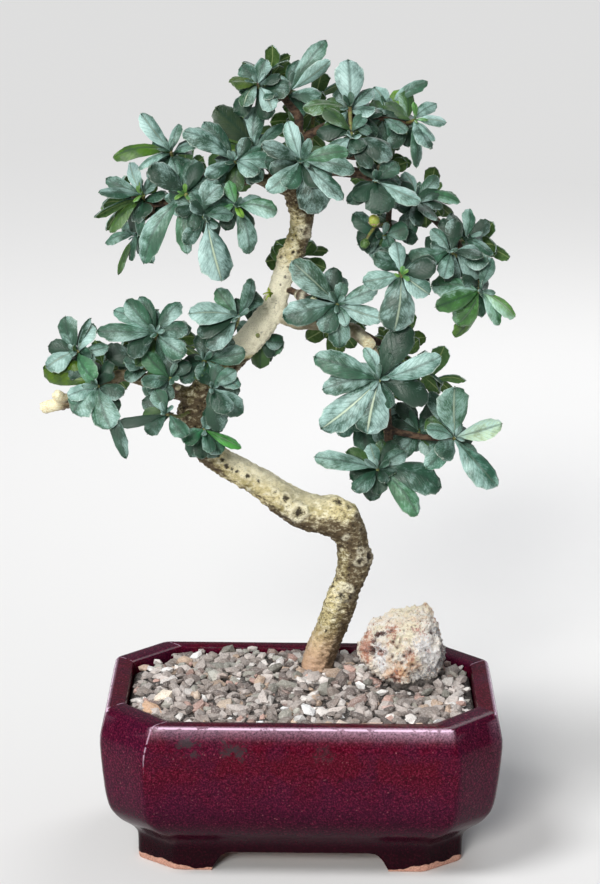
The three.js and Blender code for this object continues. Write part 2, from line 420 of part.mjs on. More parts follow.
// A tapered limb bent along its path, with its knots raised from the surface.
function limb(points, sides, steps, grow = 0, knots = []) {
  const path = new THREE.CatmullRomCurve3(points.map(([x, y, z]) => new THREE.Vector3(x, y, z)));
  const rings = [];
  let side = LIMB_SIDE;
  for (let step = 0; step <= steps; step += 1) {
    const share = step / steps;
    const along = path.getTangent(share);
    side = side.clone().addScaledVector(along, -side.dot(along)).normalize();
    const span = Math.min(Math.floor(share * (points.length - 1)), points.length - 2);
    const within = share * (points.length - 1) - span;
    rings.push({
      centre: path.getPoint(share),
      side,
      across: new THREE.Vector3().crossVectors(along, side),
      radius: THREE.MathUtils.lerp(points[span][3], points[span + 1][3], within),
    });
  }
  const tube = new THREE.CylinderGeometry(1, 1, 1, sides, steps);
  const place = tube.attributes.position;
  for (let i = 0; i < place.count; i += 1) {
    const ring = rings[Math.round((0.5 - place.getY(i)) * steps)];
    const outward = ring.side.clone().multiplyScalar(place.getX(i));
    outward.addScaledVector(ring.across, place.getZ(i));
    const skin = ring.centre.clone().addScaledVector(outward, ring.radius);
    let radius = ring.radius + grow;
    for (const knot of knots) {
      const distance = skin.distanceTo(new THREE.Vector3(...knot.at));
      radius += knot.height * Math.exp(-((distance / knot.spread) ** 2));
    }
    const point = ring.centre.clone().addScaledVector(outward, radius);
    place.setXYZ(i, point.x, point.y, point.z);
  }
  return solid(tube);
}

function makeWood(grow) {
  let wood = limb(TRUNK, TRUNK_SIDES, TRUNK_STEPS, grow, KNOTS);
  for (const points of Object.values(BRANCHES)) {
    const sides = points[0][3] > TWIG_RADIUS ? BRANCH_SIDES : TWIG_SIDES;
    wood = wood.add(limb(points, sides, points.length - 1, grow));
  }
  return wood;
}

// A rough boulder: a ball pressed flat on a few sides, with hollows and bumps left between them.
function makeRock(grow) {
  const flats = ROCK_SIDES.map(([x, y, z, distance]) => (
    { facing: new THREE.Vector3(x, y, z).normalize(), distance }
  ));
  const ball = new THREE.IcosahedronGeometry(1, 3);
  const place = ball.attributes.position;
  for (let i = 0; i < place.count; i += 1) {
    const outward = new THREE.Vector3().fromBufferAttribute(place, i).normalize();
    let reach = ROCK_REACH;
    for (const flat of flats) {
      const lean = outward.dot(flat.facing);
      if (lean > 0.2) {
        reach = Math.min(reach, flat.distance / lean);
      }
    }
    const bump = Math.sin(outward.x * 9 + 1) * Math.sin(outward.y * 8 + 2) * Math.sin(outward.z * 10);
    const point = outward.multiplyScalar(reach + bump * ROCK_BUMP + grow).add(ROCK_CENTRE);
    place.setXYZ(i, point.x, point.y, point.z);
  }
  return solid(ball);
}

// The dressing of stones: a low mound whose surface is one small peak after another.
function makeGravel() {
  const draw = seededDraw(GRAVEL_SEED);
  const columns = Math.ceil((2 * POT_HALF_LENGTH) / STONE_PITCH);
  const rows = Math.ceil((2 * POT_HALF_DEPTH) / STONE_PITCH);
  const mound = (x, y) => {
    const away = (x / POT_HALF_LENGTH) ** 2 + (y / POT_HALF_DEPTH) ** 2;
    return GRAVEL_EDGE + GRAVEL_MOUND * Math.max(0, 1 - away) + (GRAVEL_BACK_RISE * y) / POT_HALF_DEPTH;
  };
  const points = [];
  const corner = (column, row) => row * (columns + 1) + column;
  for (let row = 0; row <= rows; row += 1) {
    for (let column = 0; column <= columns; column += 1) {
      const x = (column - columns / 2) * STONE_PITCH + draw(-STONE_SHIFT, STONE_SHIFT);
      const y = (row - rows / 2) * STONE_PITCH + draw(-STONE_SHIFT, STONE_SHIFT);
      points.push(new THREE.Vector3(x, y, mound(x, y) + draw(...STONE_FOOT)));
    }
  }
  const indices = [];
  for (let row = 0; row < rows; row += 1) {
    for (let column = 0; column < columns; column += 1) {
      const corners = [corner(column, row), corner(column + 1, row), corner(column + 1, row + 1),
        corner(column, row + 1)];
      const peak = new THREE.Vector3();
      corners.forEach((index) => peak.addScaledVector(points[index], 0.25));
      peak.x += draw(-PEAK_SHIFT, PEAK_SHIFT);
      peak.y += draw(-PEAK_SHIFT, PEAK_SHIFT);
      peak.z += draw(...PEAK_HEIGHT);
      corners.forEach((index, i) => indices.push(index, corners[(i + 1) % 4], points.length));
      points.push(peak);
    }
  }
  const deep = points.length;
  points.push(new THREE.Vector3(0, 0, -FUNNEL_DEPTH));
  for (let column = 0; column < columns; column += 1) {
    indices.push(corner(column + 1, 0), corner(column, 0), deep);
    indices.push(corner(column, rows), corner(column + 1, rows), deep);
  }
  for (let row = 0; row < rows; row += 1) {
    indices.push(corner(0, row), corner(0, row + 1), deep);
    indices.push(corner(columns, row + 1), corner(columns, row), deep);
  }
  const geometry = new THREE.BufferGeometry().setFromPoints(points);
  geometry.setIndex(indices);
  const inside = LIP_INSET + CLEARANCE;
  const bed = potSolid([[SOIL_TOP + CLEARANCE, inside], [POT_HEIGHT + 20, inside]]);
  return solid(geometry).intersect(bed);
}

// One obovate blade with a toothed end. It arches from root to tip, both halves droop from the rib,
// and it thins from the rib to its edge. "grow" is the room kept round it, and "start" leaves out
// its first part, where it may meet its neighbours.
function makeBlade(leaf, grow = 0, start = 0) {
  const along = leaf.tip.clone().sub(leaf.root);
  const length = along.length();
  along.normalize();
  const up = leaf.facing.clone().addScaledVector(along, -leaf.facing.dot(along)).normalize();
  up.applyAxisAngle(along, leaf.roll);
  const across = new THREE.Vector3().crossVectors(along, up);
  const half = leaf.width < YOUNG_WIDTH ? YOUNG_OUTLINE : BLADE_OUTLINE;
  const mirrored = half.slice(1, -1).reverse().map(([share, out]) => [share, -out]);
  const outline = [...half, ...mirrored, [BLADE_RIB, 0]];
  const rib = outline.length - 1;
  const width = leaf.width + 2 * grow;
  const points = [];
  for (const face of [1, -1]) {
    outline.forEach(([share, out], i) => {
      const from = start + share * (1 - start);
      const thickness = (i === rib ? RIB_THICKNESS : 0) + 2 * grow;
      const arch = 4 * BLADE_ARCH * length * from * (1 - from);
      const point = leaf.root.clone().addScaledVector(along, from * (length + grow));
      point.addScaledVector(across, out * width);
      point.addScaledVector(up, arch - BLADE_DROOP * Math.abs(out) * width + (face * thickness) / 2);
      points.push(point);
    });
  }
  const under = outline.length;
  const indices = [];
  for (let i = 0; i < rib; i += 1) {
    const next = (i + 1) % rib;
    indices.push(i, next, rib, under + next, under + i, under + rib);
    indices.push(under + i, under + next, next, under + i, next, i);
  }
  const geometry = new THREE.BufferGeometry().setFromPoints(points);
  geometry.setIndex(indices);
  return solid(geometry);
}

// The leaves of one rosette before any of them gives way: first those placed one by one, then the
// further ones round the rosette, each a golden angle on from the one before.
function rosetteLeaves(shoot, seed) {
  const draw = seededDraw(seed);
  const centre = new THREE.Vector3(...shoot.at);
  const facing = new THREE.Vector3(...shoot.facing).normalize();
  const stem = centre.clone().sub(new THREE.Vector3(...shoot.from)).normalize();
  const sideways = ROSETTE_SIDE.clone().addScaledVector(facing, -facing.dot(ROSETTE_SIDE)).normalize();
  const placed = shoot.leaves.map(([x, y, z, width, roll = 0]) => ({
    reach: new THREE.Vector3(x, y, z), width, roll: THREE.MathUtils.degToRad(roll),
  }));
  const turnStart = draw(0, 2 * Math.PI);
  for (let i = 0; i < shoot.more; i += 1) {
    const length = draw(...FURTHER_LENGTH);
    const lean = draw(...(shoot.leaves.length > 0 ? LEAN_BEHIND : LEAN_ALONE));
    const reach = facing.clone().multiplyScalar(Math.cos(lean));
    const outward = sideways.clone().applyAxisAngle(facing, turnStart + i * GOLDEN_ANGLE);
    reach.addScaledVector(outward, Math.sin(lean)).multiplyScalar(length);
    placed.push({ reach, width: length * draw(...FURTHER_WIDTH), roll: draw(...FURTHER_ROLL) });
  }
  return placed.map((leaf, i) => {
    const depth = ROOT_DEPTH + ROOT_STAGGER * (i / placed.length);
    return { ...leaf, facing, root: centre.clone().addScaledVector(stem, -depth) };
  });
}

function bentLeaf(leaf, way) {
  const length = leaf.reach.length();
  const reach = leaf.reach.clone().applyAxisAngle(leaf.facing, way.turn);
  reach.addScaledVector(leaf.facing, way.lift * length).setLength(length * way.scale);
  return { ...leaf, tip: leaf.root.clone().add(reach), width: leaf.width * way.scale };
}

function shootStem(shoot) {
  const [start, end] = [shoot.from, shoot.at];
  const middle = start.map((value, i) => (value + end[i]) / 2);
  middle[2] -= SHOOT_SAG * Math.hypot(end[0] - start[0], end[1] - start[1]);
  const path = [[...start, SHOOT_FOOT_RADIUS], [...middle, SHOOT_RADIUS], [...end, SHOOT_RADIUS]];
  return limb(path, SHOOT_SIDES, SHOOT_STEPS);
}

// Pieces already in place. The blades of one shoot may meet at their roots, so there each blade
// counts only from a little way out, which is its free part.
const standing = [];

function stand(name, body, free) {
  standing.push({ name, body, box: body.boundingBox(), free });
}

function touches(name, body, free) {
  const box = body.boundingBox();
  return standing.some((other) => {
    const near = [0, 1, 2].every((i) => box.min[i] <= other.box.max[i] && other.box.min[i] <= box.max[i]);
    if (!near) {
      return false;
    }
    if (other.name === name) {
      return other.free !== undefined && !free.intersect(other.free).isEmpty();
    }
    return !body.intersect(other.body).isEmpty();
  });
}

function fits(name, leaf) {
  return !touches(name, makeBlade(leaf, CLEARANCE), makeBlade(leaf, CLEARANCE / 2, FREE_FROM));
}

const woodSeat = makeWood(CLEARANCE);
const tree = new THREE.Group();
const soil = potSolid(SOIL_PROFILE, CLEARANCE).subtract(woodSeat);
const gravel = makeGravel().subtract(woodSeat).subtract(makeRock(CLEARANCE));
tree.add(namedMesh("pot", makePot(), GLAZE));
tree.add(namedMesh("soil", soil, COMPOST));
tree.add(namedMesh("gravel", gravel, STONE_CHIPS));
tree.add(namedMesh("rock", makeRock(0), ROCK_STONE));
tree.add(namedMesh("trunk", makeWood(0), BARK));
stand("trunk", woodSeat);

let berries = limb(BERRY_STALK, SHOOT_SIDES, SHOOT_STEPS);
berries = berries.add(limb(BERRY_SIDE_STALK, SHOOT_SIDES, SHOOT_STEPS));
for (const [x, y, z] of [BERRY_STALK.at(-1), BERRY_SIDE_STALK.at(-1)]) {
  berries = berries.add(solid(new THREE.IcosahedronGeometry(BERRY_RADIUS, 1).translate(x, y, z)));
}
berries = berries.subtract(woodSeat);
tree.add(namedMesh("berry_sprig", berries, BERRY_SKIN));
stand("berry_sprig", berries);

let flowers = limb(FLOWER_STALK, SHOOT_SIDES, SHOOT_STEPS);
for (const bud of FLOWER_BUDS) {
  const ball = new THREE.IcosahedronGeometry(BUD_RADIUS, 0).scale(1, 1, BUD_STRETCH);
  ball.translate(bud[0], bud[1], bud[2]);
  flowers = flowers.add(limb([FLOWER_STALK.at(-1), bud], SHOOT_SIDES, 1)).add(solid(ball));
}
flowers = flowers.subtract(woodSeat);
tree.add(namedMesh("flower_sprig", flowers, PETAL));
stand("flower_sprig", flowers);

const stems = SHOOTS.map(shootStem);
SHOOTS.forEach((shoot, i) => stand(shoot.name, stems[i]));
const bodies = new Map();
SHOOTS.forEach((shoot, i) => {
  let body = bodies.has(shoot.name) ? bodies.get(shoot.name).add(stems[i]) : stems[i];
  for (const leaf of rosetteLeaves(shoot, ROSETTE_SEED + i)) {
    const way = WAYS_CLEAR.find((each) => fits(shoot.name, bentLeaf(leaf, each)));
    if (way) {
      const bent = bentLeaf(leaf, way);
      const blade = makeBlade(bent);
      stand(shoot.name, blade, makeBlade(bent, 0, FREE_FROM));
      body = body.add(blade);
    }
  }
  bodies.set(shoot.name, body);
});
for (const [name, body] of bodies) {
  tree.add(namedMesh(`shoot_${name}`, largest(body.subtract(woodSeat)), LEAF));
}

// The origin is on the surface that the feet stand on, under the middle of the whole object's box.
const box = new THREE.Box3().setFromObject(tree);
const middle = box.getCenter(new THREE.Vector3());
tree.position.set(-middle.x, -middle.y, 0);

export default tree;
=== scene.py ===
import math
import random

import bmesh
import bpy
from mathutils import Matrix, Vector, kdtree, noise
from mathutils.bvhtree import BVHTree


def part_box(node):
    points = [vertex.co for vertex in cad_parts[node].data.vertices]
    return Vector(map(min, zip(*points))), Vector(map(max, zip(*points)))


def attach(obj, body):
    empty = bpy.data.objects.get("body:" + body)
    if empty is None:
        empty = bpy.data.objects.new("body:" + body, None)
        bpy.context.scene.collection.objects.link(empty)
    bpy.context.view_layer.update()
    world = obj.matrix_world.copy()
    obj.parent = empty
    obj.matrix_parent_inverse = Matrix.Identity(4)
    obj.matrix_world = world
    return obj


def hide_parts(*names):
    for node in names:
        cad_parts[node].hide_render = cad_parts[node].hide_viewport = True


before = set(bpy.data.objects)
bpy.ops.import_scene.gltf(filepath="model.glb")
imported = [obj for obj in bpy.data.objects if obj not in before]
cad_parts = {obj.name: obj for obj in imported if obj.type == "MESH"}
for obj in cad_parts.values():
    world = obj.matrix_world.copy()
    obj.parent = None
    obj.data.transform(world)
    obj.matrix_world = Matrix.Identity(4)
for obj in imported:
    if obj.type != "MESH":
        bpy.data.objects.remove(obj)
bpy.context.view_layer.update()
MM = 0.001

# Camera. It stands where the photograph was taken from, about a metre and a half in front of the tree
# and a little above it, and looks slightly down.
CAMERA_PLACE = (0.0144, -1.4871, 0.566)
CAMERA_LENS = 122.5
CAMERA_SENSOR = 36
CAMERA_DOWN = 13.60
CAMERA_LEFT = 0.08
CAMERA_ROLL = 0.53

view = bpy.data.cameras.new("camera")
view.sensor_fit = "VERTICAL"
view.sensor_height = CAMERA_SENSOR
view.lens = CAMERA_LENS
camera = bpy.data.objects.new("camera", view)
bpy.context.scene.collection.objects.link(camera)
camera.matrix_world = (
    Matrix.Translation(CAMERA_PLACE)
    @ Matrix.Rotation(math.radians(CAMERA_LEFT), 4, "Z")
    @ Matrix.Rotation(math.radians(90 - CAMERA_DOWN), 4, "X")
    @ Matrix.Rotation(math.radians(CAMERA_ROLL), 4, "Z")
)
bpy.context.scene.camera = camera

# Light. A soft key light from in front, a little to the left, a softer one from the upper left, one
# from behind that rims the leaves, and a pale room all round.
LIGHT_TARGET = Vector((0, 0, 0.22))
# Each far light: where it comes from, how strong and how soft it is, and its colour.
FAR_LIGHTS = [
    ("key_light", (-0.30, -1.20, 0.55), 2.35, 16, (1.0, 0.99, 0.96)),
    ("top_light", (-0.75, -0.55, 1.30), 1.85, 22, (0.98, 0.99, 1.0)),
]
BACK_FROM = (0.5, 1.1, 1.2)
BACK_POWER = 7
BACK_SIZE = 0.8
BACK_COLOUR = (0.97, 0.98, 1.0)
ROOM_COLOUR = (0.80, 0.84, 0.90, 1)
ROOM_STRENGTH = 0.22


def add_light(name, kind, place, energy, colour):
    """A light that points at the middle of the tree."""
    lamp = bpy.data.lights.new(name, kind)
    lamp.energy = energy
    lamp.color = colour
    light = bpy.data.objects.new(name, lamp)
    light.location = place
    light.rotation_euler = (LIGHT_TARGET - Vector(place)).to_track_quat("-Z", "Y").to_euler()
    bpy.context.scene.collection.objects.link(light)
    return lamp


for name, way, strength, softness, colour in FAR_LIGHTS:
    add_light(name, "SUN", LIGHT_TARGET + Vector(way), strength, colour).angle = math.radians(softness)
add_light("back_light", "AREA", BACK_FROM, BACK_POWER, BACK_COLOUR).size = BACK_SIZE

room = bpy.data.worlds.new("room")
room.use_nodes = True
room.node_tree.nodes["Background"].inputs["Color"].default_value = ROOM_COLOUR
room.node_tree.nodes["Background"].inputs["Strength"].default_value = ROOM_STRENGTH
bpy.context.scene.world = room
bpy.context.scene.view_settings.view_transform = "Standard"

# Floor. A plain pale studio floor that the pot stands on, wide enough to fill the view.
FLOOR_HALF = 15
FLOOR_COLOUR = (0.80, 0.79, 0.78, 1)


def new_material(name, **sockets):
    """A shader with the values that are the same all over its surface, and its node tree."""
    material = bpy.data.materials.new(name)
    material.use_nodes = True
    surface = material.node_tree.nodes["Principled BSDF"]
    for socket, value in sockets.items():
        surface.inputs[socket.replace("_", " ")].default_value = value
    return material, material.node_tree


floor_finish, _ = new_material("floor", Base_Color=FLOOR_COLOUR, Roughness=0.85)
floor_mesh = bmesh.new()
bmesh.ops.create_grid(floor_mesh, x_segments=1, y_segments=1, size=FLOOR_HALF)
floor_data = bpy.data.meshes.new("floor")
floor_mesh.to_mesh(floor_data)
floor_mesh.free()
floor_data.materials.append(floor_finish)
floor = bpy.data.objects.new("floor", floor_data)
bpy.context.scene.collection.objects.link(floor)

# Pot. One slip-cast ceramic tray with eight corners and four corner feet, dipped in an oxblood glaze
# that breaks to lilac white on its edges. The feet stand on bare clay, and the floor has two holes.
POT_LOW, POT_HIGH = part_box("pot")
POT_MIDDLE = (POT_LOW + POT_HIGH) / 2
POT_MIDDLE.z = 0
POT_HALF_LENGTH = (POT_HIGH.x - POT_LOW.x) / 2
POT_HALF_DEPTH = (POT_HIGH.y - POT_LOW.y) / 2
POT_HEIGHT = POT_HIGH.z
RIM_CORNER = Vector((24, 28)) * MM
FOOT_CORNER = Vector((19.4, 16.9)) * MM
CORNER_ROUND = 3 * MM
CORNER_STEPS = 5
SIDE_STEPS = (4, 16, 4, 8)
# How far in from the widest outline, and how high: up the wall, over the lip and down to the floor.
POT_WALL = [
    (19.9, 0), (18.8, 1.5), (18.4, 11.8), (16.9, 15.6), (14.2, 18.8), (10, 22.6), (6.6, 27), (4.2, 32),
    (2.2, 42), (0, 63.6), (0.9, 71.8), (2.3, 78),
]
POT_LIP = [
    (2.3, 78), (2.5, 79), (2.7, 79.6), (3.0, 80.2), (3.4, 80.7), (4.0, 81.05), (4.8, 81.3), (6, 81.4),
    (8.6, 81.4), (11, 81.3), (12.1, 80.7), (12.5, 79.4),
]
POT_INSIDE = [(12.5, 71), (9, 66), (13, 34), (25, 20)]
WALL_STEPS = 3
FOOT_INSIDE = 31.9 * MM
FOOT_INWARD = 108 * MM
RECESS_TOP = 12 * MM
FRONT_ARCH_HALF = 41
SIDE_ARCH_HALF = 22
# Half of an arch between two feet: how far out from its nominal half width, and how high.
ARCH_SIDE = [
    (3.9, -1), (3.4, 0.8), (2.5, 2.6), (1.4, 4.6), (0.2, 6.6), (-1.6, 8.4), (-3.6, 9.6), (-6.5, 10),
]
DRAIN_HOLE_X = 40 * MM
DRAIN_HOLE_RADIUS = 7 * MM
EDGE_BEVEL = 0.7 * MM
SHARP_FROM = 35
CLAY_SLOT = 1
RIDGE_WIDTH = 1.2 * MM
CLAY_RISE = 6 * MM
# The darkest glaze colour: the dark of the grain and, low on the wall, painted shade.
GLAZE_DEEP_AND_SHADE = (0.006, 0.0001, 0.002, 1)
GLAZE_RED = (0.070, 0.0012, 0.008, 1)
GLAZE_PLUM = (0.046, 0.0035, 0.020, 1)
GLAZE_GRAIN = (0.180, 0.014, 0.040, 1)
GLAZE_SPECK = (0.400, 0.130, 0.150, 1)
GLAZE_BLOTCH = (0.036, 0.026, 0.030, 1)
# Lilac white where the glaze breaks, also used for the painted highlight under the rim.
GLAZE_BREAK_AND_SHEEN = (0.900, 0.640, 0.830, 1)
BARE_CLAY = (0.600, 0.330, 0.250, 1)
CLAY_SHADE = (0.360, 0.190, 0.140, 1)
# Grey blotches on the front of the glaze: how far across and how high their middles are, how wide
# they are and how strong.
BLOTCHES = [
    ((-56.2, 72.5), 4.5, 0.85), ((-52, 69), 3, 0.7), ((-36, 70.5), 4, 0.8), ((-30.5, 68.8), 4, 0.85),
    ((10.8, 69), 5, 0.4),
]


def smooth_path(points, steps):
    """Points on the smooth curve that passes through the given ones, with so many steps to a span."""
    points = [Vector(point) for point in points]
    path = []
    for i in range(len(points) - 1):
        before = points[max(i - 1, 0)]
        start, end = points[i], points[i + 1]
        after = points[min(i + 2, len(points) - 1)]
        for step in range(steps):
            t = step / steps
            bend = (2 * before - 5 * start + 4 * end - after) * t
            bend += (3 * start - before - 3 * end + after) * t * t
            path.append(start + 0.5 * ((end - before) * t + bend * t))
    path.append(points[-1])
    return path


def pot_outline(inset, height):
    """Points round the eight rounded corners of the pot at one level."""
    cut = FOOT_CORNER.lerp(RIM_CORNER, min(max(height / POT_HEIGHT, 0), 1))
    x = POT_HALF_LENGTH - inset
    y = POT_HALF_DEPTH - inset
    corners = [
        (x, y - cut.y), (x - cut.x, y), (cut.x - x, y), (-x, y - cut.y),
        (-x, cut.y - y), (cut.x - x, -y), (x - cut.x, -y), (x, cut.y - y),
    ]
    corners = [POT_MIDDLE + Vector((across, along, height)) for across, along in corners]
    outline = []
    for i, corner in enumerate(corners):
        before, after = corners[i - 1], corners[(i + 1) % 8]
        start = corner + (before - corner).normalized() * CORNER_ROUND
        end = corner + (after - corner).normalized() * CORNER_ROUND
        for step in range(CORNER_STEPS):
            t = step / (CORNER_STEPS - 1)
            outline.append(start.lerp(corner, t).lerp(corner.lerp(end, t), t))
        following = after + (corner - after).normalized() * CORNER_ROUND
        steps = SIDE_STEPS[i % 4]
        outline.extend(end.lerp(following, step / steps) for step in range(1, steps))
    return outline


def raised_outline(mesh, levels, outline):
    """A closed form through the outline at each level, made by raising its cap from one to the next."""
    bottom = cap = mesh.faces.new([mesh.verts.new(point) for point in outline(*levels[0])])
    for level in levels[1:]:
        raised = bmesh.ops.extrude_face_region(mesh, geom=[cap])["geom"]
        if cap is not bottom and cap.is_valid:
            bmesh.ops.delete(mesh, geom=[cap], context="FACES_ONLY")
        cap = next(part for part in raised if isinstance(part, bmesh.types.BMFace))
        for corner, point in zip(cap.verts, outline(*level)):
            corner.co = point
    bmesh.ops.recalc_face_normals(mesh, faces=mesh.faces)
    return cap


def new_piece(name, mesh, *finishes):
    """An object at the origin with this mesh and these finishes."""
    data = bpy.data.meshes.new(name)
    mesh.to_mesh(data)
    mesh.free()
    for finish in finishes:
        data.materials.append(finish)
    piece = bpy.data.objects.new(name, data)
    bpy.context.scene.collection.objects.link(piece)
    return piece


def apply_modifiers(piece):
    """Makes the piece's modifiers part of its mesh."""
    bpy.context.view_layer.update()
    shaped = piece.evaluated_get(bpy.context.evaluated_depsgraph_get())
    data = bpy.data.meshes.new_from_object(shaped)
    piece.modifiers.clear()
    piece.data = data


def arch_cutter(half_width, length, turn):
    """The space between two feet, from one side of the pot to the other."""
    side = [((half_width + out) * MM, high * MM) for out, high in ARCH_SIDE]
    profile = side + [(-out, high) for out, high in reversed(side)]
    mesh = bmesh.new()
    face = mesh.faces.new([mesh.verts.new((out, -length / 2, high)) for out, high in profile])
    grown = bmesh.ops.extrude_face_region(mesh, geom=[face])["geom"]
    far_end = [part for part in grown if isinstance(part, bmesh.types.BMVert)]
    bmesh.ops.translate(mesh, verts=far_end, vec=(0, length, 0))
    bmesh.ops.recalc_face_normals(mesh, faces=mesh.faces)
    placed = Matrix.Translation(POT_MIDDLE) @ Matrix.Rotation(turn, 4, "Z")
    bmesh.ops.transform(mesh, matrix=placed, verts=mesh.verts)
    return new_piece("arch_cutter", mesh)


def recess_cutter():
    """The hollow under the pot's floor, inside its feet."""
    mesh = bmesh.new()
    raised_outline(mesh, [(FOOT_INSIDE, -MM), (FOOT_INSIDE, RECESS_TOP)], pot_outline)
    return new_piece("recess_cutter", mesh)


def drain_cutter(across):
    """A round hole through the pot's floor."""
    mesh = bmesh.new()
    bmesh.ops.create_cone(
        mesh, cap_ends=True, segments=32, radius1=DRAIN_HOLE_RADIUS, radius2=DRAIN_HOLE_RADIUS,
        depth=40 * MM, matrix=Matrix.Translation(POT_MIDDLE + Vector((across, 0, 21 * MM))),
    )
    return new_piece("drain_cutter", mesh)


def add_node(tree, kind, sockets, **settings):
    """A shader node, with its settings and what goes into its sockets."""
    node = tree.nodes.new("ShaderNode" + kind)
    for setting, value in settings.items():
        setattr(node, setting, value)
    for socket, value in sockets.items():
        if isinstance(value, bpy.types.NodeSocket):
            tree.links.new(value, node.inputs[socket])
        else:
            node.inputs[socket].default_value = value
    return node


def blended(tree, share, first, second, blend_type="MIX"):
    """The colour between two colours."""
    mix = add_node(tree, "Mix", {}, data_type="RGBA", blend_type=blend_type)
    for socket, value in ((0, share), (6, first), (7, second)):
        if isinstance(value, bpy.types.NodeSocket):
            tree.links.new(value, mix.inputs[socket])
        else:
            mix.inputs[socket].default_value = value
    return mix.outputs[2]


def cloudy(tree, place, size, detail=2.0, roughness=0.5):
    """A soft noise with lumps about this size across."""
    sockets = {"Vector": place, "Scale": 1 / size, "Detail": detail, "Roughness": roughness}
    return add_node(tree, "TexNoise", sockets).outputs["Fac"]


def speckled(tree, place, size, feature="F1"):
    """The distance to the nearest of many scattered points about this size apart, as a share of it."""
    sockets = {"Vector": place, "Scale": 1 / size}
    return add_node(tree, "TexVoronoi", sockets, feature=feature).outputs["Distance"]


def graded(tree, value, low, high, start=0.0, end=1.0):
    """A value taken from the range low to high into the range start to end, and held there."""
    sockets = {"Value": value, "From Min": low, "From Max": high, "To Min": start, "To Max": end}
    return add_node(tree, "MapRange", sockets).outputs["Result"]


def worked(tree, operation, first, second=0.0):
    """The result of one sum."""
    return add_node(tree, "Math", {0: first, 1: second}, operation=operation).outputs["Value"]


def relief(tree, height, depth):
    """Low relief for the shader, as deep as given, in metres."""
    return add_node(tree, "Bump", {"Height": height, "Strength": 1.0, "Distance": depth}).outputs["Normal"]


def feed(tree, **sockets):
    """Joins what varies over the surface to the shader."""
    for socket, value in sockets.items():
        tree.links.new(value, tree.nodes["Principled BSDF"].inputs[socket.replace("_", " ")])


def painted(tree, name):
    """A colour laid on the piece's own vertices: its red, green, blue and alpha."""
    paint = add_node(tree, "Attribute", {}, attribute_name=name)
    parts = add_node(tree, "SeparateColor", {"Color": paint.outputs["Color"]})
    return paint.outputs["Color"], *parts.outputs, paint.outputs["Alpha"]


def glaze_finish():
    """Oxblood glaze: grainy red to plum, darker near the foot as painted shade, specked, worn pale where it
    runs thin, with a painted highlight under the rim, bare on the feet.
    """
    material, tree = new_material("oxblood_glaze", IOR=1.4, Specular_IOR_Level=0.12)
    place = add_node(tree, "TexCoord", {}).outputs["Object"]
    height = add_node(tree, "SeparateXYZ", {"Vector": place}).outputs["Z"]
    _, ridge, haze, plum, clay_depth = painted(tree, "glaze_wear_and_sheen")
    mottle = cloudy(tree, place, 15 * MM, 4, 0.6)
    grain = cloudy(tree, place, 1.0 * MM, 4, 0.8)
    # Darker towards the foot: painted shade, and a painted reflection of a dark floor.
    body = blended(tree, graded(tree, height, 10 * MM, 42 * MM), GLAZE_DEEP_AND_SHADE, GLAZE_PLUM)
    high_up = graded(tree, height, 36 * MM, 60 * MM, 0.1, 1)
    red_band = worked(tree, "MULTIPLY", high_up, graded(tree, mottle, 0.60, 0.42, 0.35, 1))
    red_share = worked(tree, "MULTIPLY", red_band, graded(tree, plum, 0, 1, 1, 0.25))
    body = blended(tree, red_share, body, GLAZE_RED)
    body = blended(tree, graded(tree, grain, 0.50, 0.36, 0.0, 0.75), body, GLAZE_DEEP_AND_SHADE)
    off_the_feet = graded(tree, height, 12 * MM, 50 * MM, 0.15, 1)
    light_grain = worked(tree, "MULTIPLY", graded(tree, grain, 0.52, 0.66, 0, 0.9), off_the_feet)
    body = blended(tree, light_grain, body, GLAZE_GRAIN)
    specks = graded(tree, speckled(tree, place, 2.2 * MM), 0.24, 0.10)
    speck_field = graded(tree, cloudy(tree, place, 7 * MM, 3, 0.7), 0.50, 0.70, 0.0, 0.5)
    speck_share = worked(tree, "MULTIPLY", specks, speck_field)
    speck_share = worked(tree, "MULTIPLY", speck_share, graded(tree, height, 14 * MM, 40 * MM))
    body = blended(tree, speck_share, body, GLAZE_SPECK)
    patchy = cloudy(tree, place, 4 * MM, 4, 0.75)
    for (across, high), width, most in BLOTCHES:
        middle = (POT_MIDDLE.x + across * MM, POT_LOW.y + 2 * MM, high * MM)
        far = add_node(tree, "VectorMath", {0: place, 1: middle}, operation="DISTANCE").outputs["Value"]
        far = worked(tree, "ADD", far, graded(tree, patchy, 0.3, 0.7, -4.5 * MM, 4.5 * MM))
        blotch = graded(tree, far, 1.1 * width * MM, 0.5 * width * MM, 0, most)
        body = blended(tree, blotch, body, GLAZE_BLOTCH)
    # The pale band under the rim: part glaze break, part painted highlight.
    haze_share = worked(tree, "MULTIPLY", haze, graded(tree, grain, 0.36, 0.60, 0.2, 0.8))
    body = blended(tree, haze_share, body, GLAZE_BREAK_AND_SHEEN)
    worn = graded(tree, cloudy(tree, place, 3.2 * MM, 3), 0.34, 0.46, 0.3, 1.0)
    ridge_share = worked(tree, "MULTIPLY", ridge, worn)
    body = blended(tree, graded(tree, ridge_share, 0.45, 0.9, 0, 0.75), body, GLAZE_BREAK_AND_SHEEN)
    waves = graded(tree, cloudy(tree, place, 9 * MM, 3), 0.3, 0.7, 0.8 * MM, -1.2 * MM)
    clay_line = worked(tree, "MULTIPLY", clay_depth, CLAY_RISE)
    over_clay = worked(tree, "SUBTRACT", worked(tree, "ADD", height, waves), clay_line)
    bare = graded(tree, over_clay, 0.15 * MM, -0.15 * MM)
    body = blended(tree, bare, body, blended(tree, graded(tree, grain, 0.4, 0.6), BARE_CLAY, CLAY_SHADE))
    glaze_roughness = graded(tree, mottle, 0.3, 0.7, 0.14, 0.26)
    roughness = worked(tree, "MAXIMUM", glaze_roughness, graded(tree, bare, 0, 1, 0, 0.8))
    ripple = relief(tree, cloudy(tree, place, 4 * MM, 3), 0.12 * MM)
    feed(tree, Base_Color=body, Roughness=roughness, Normal=ripple)
    return material


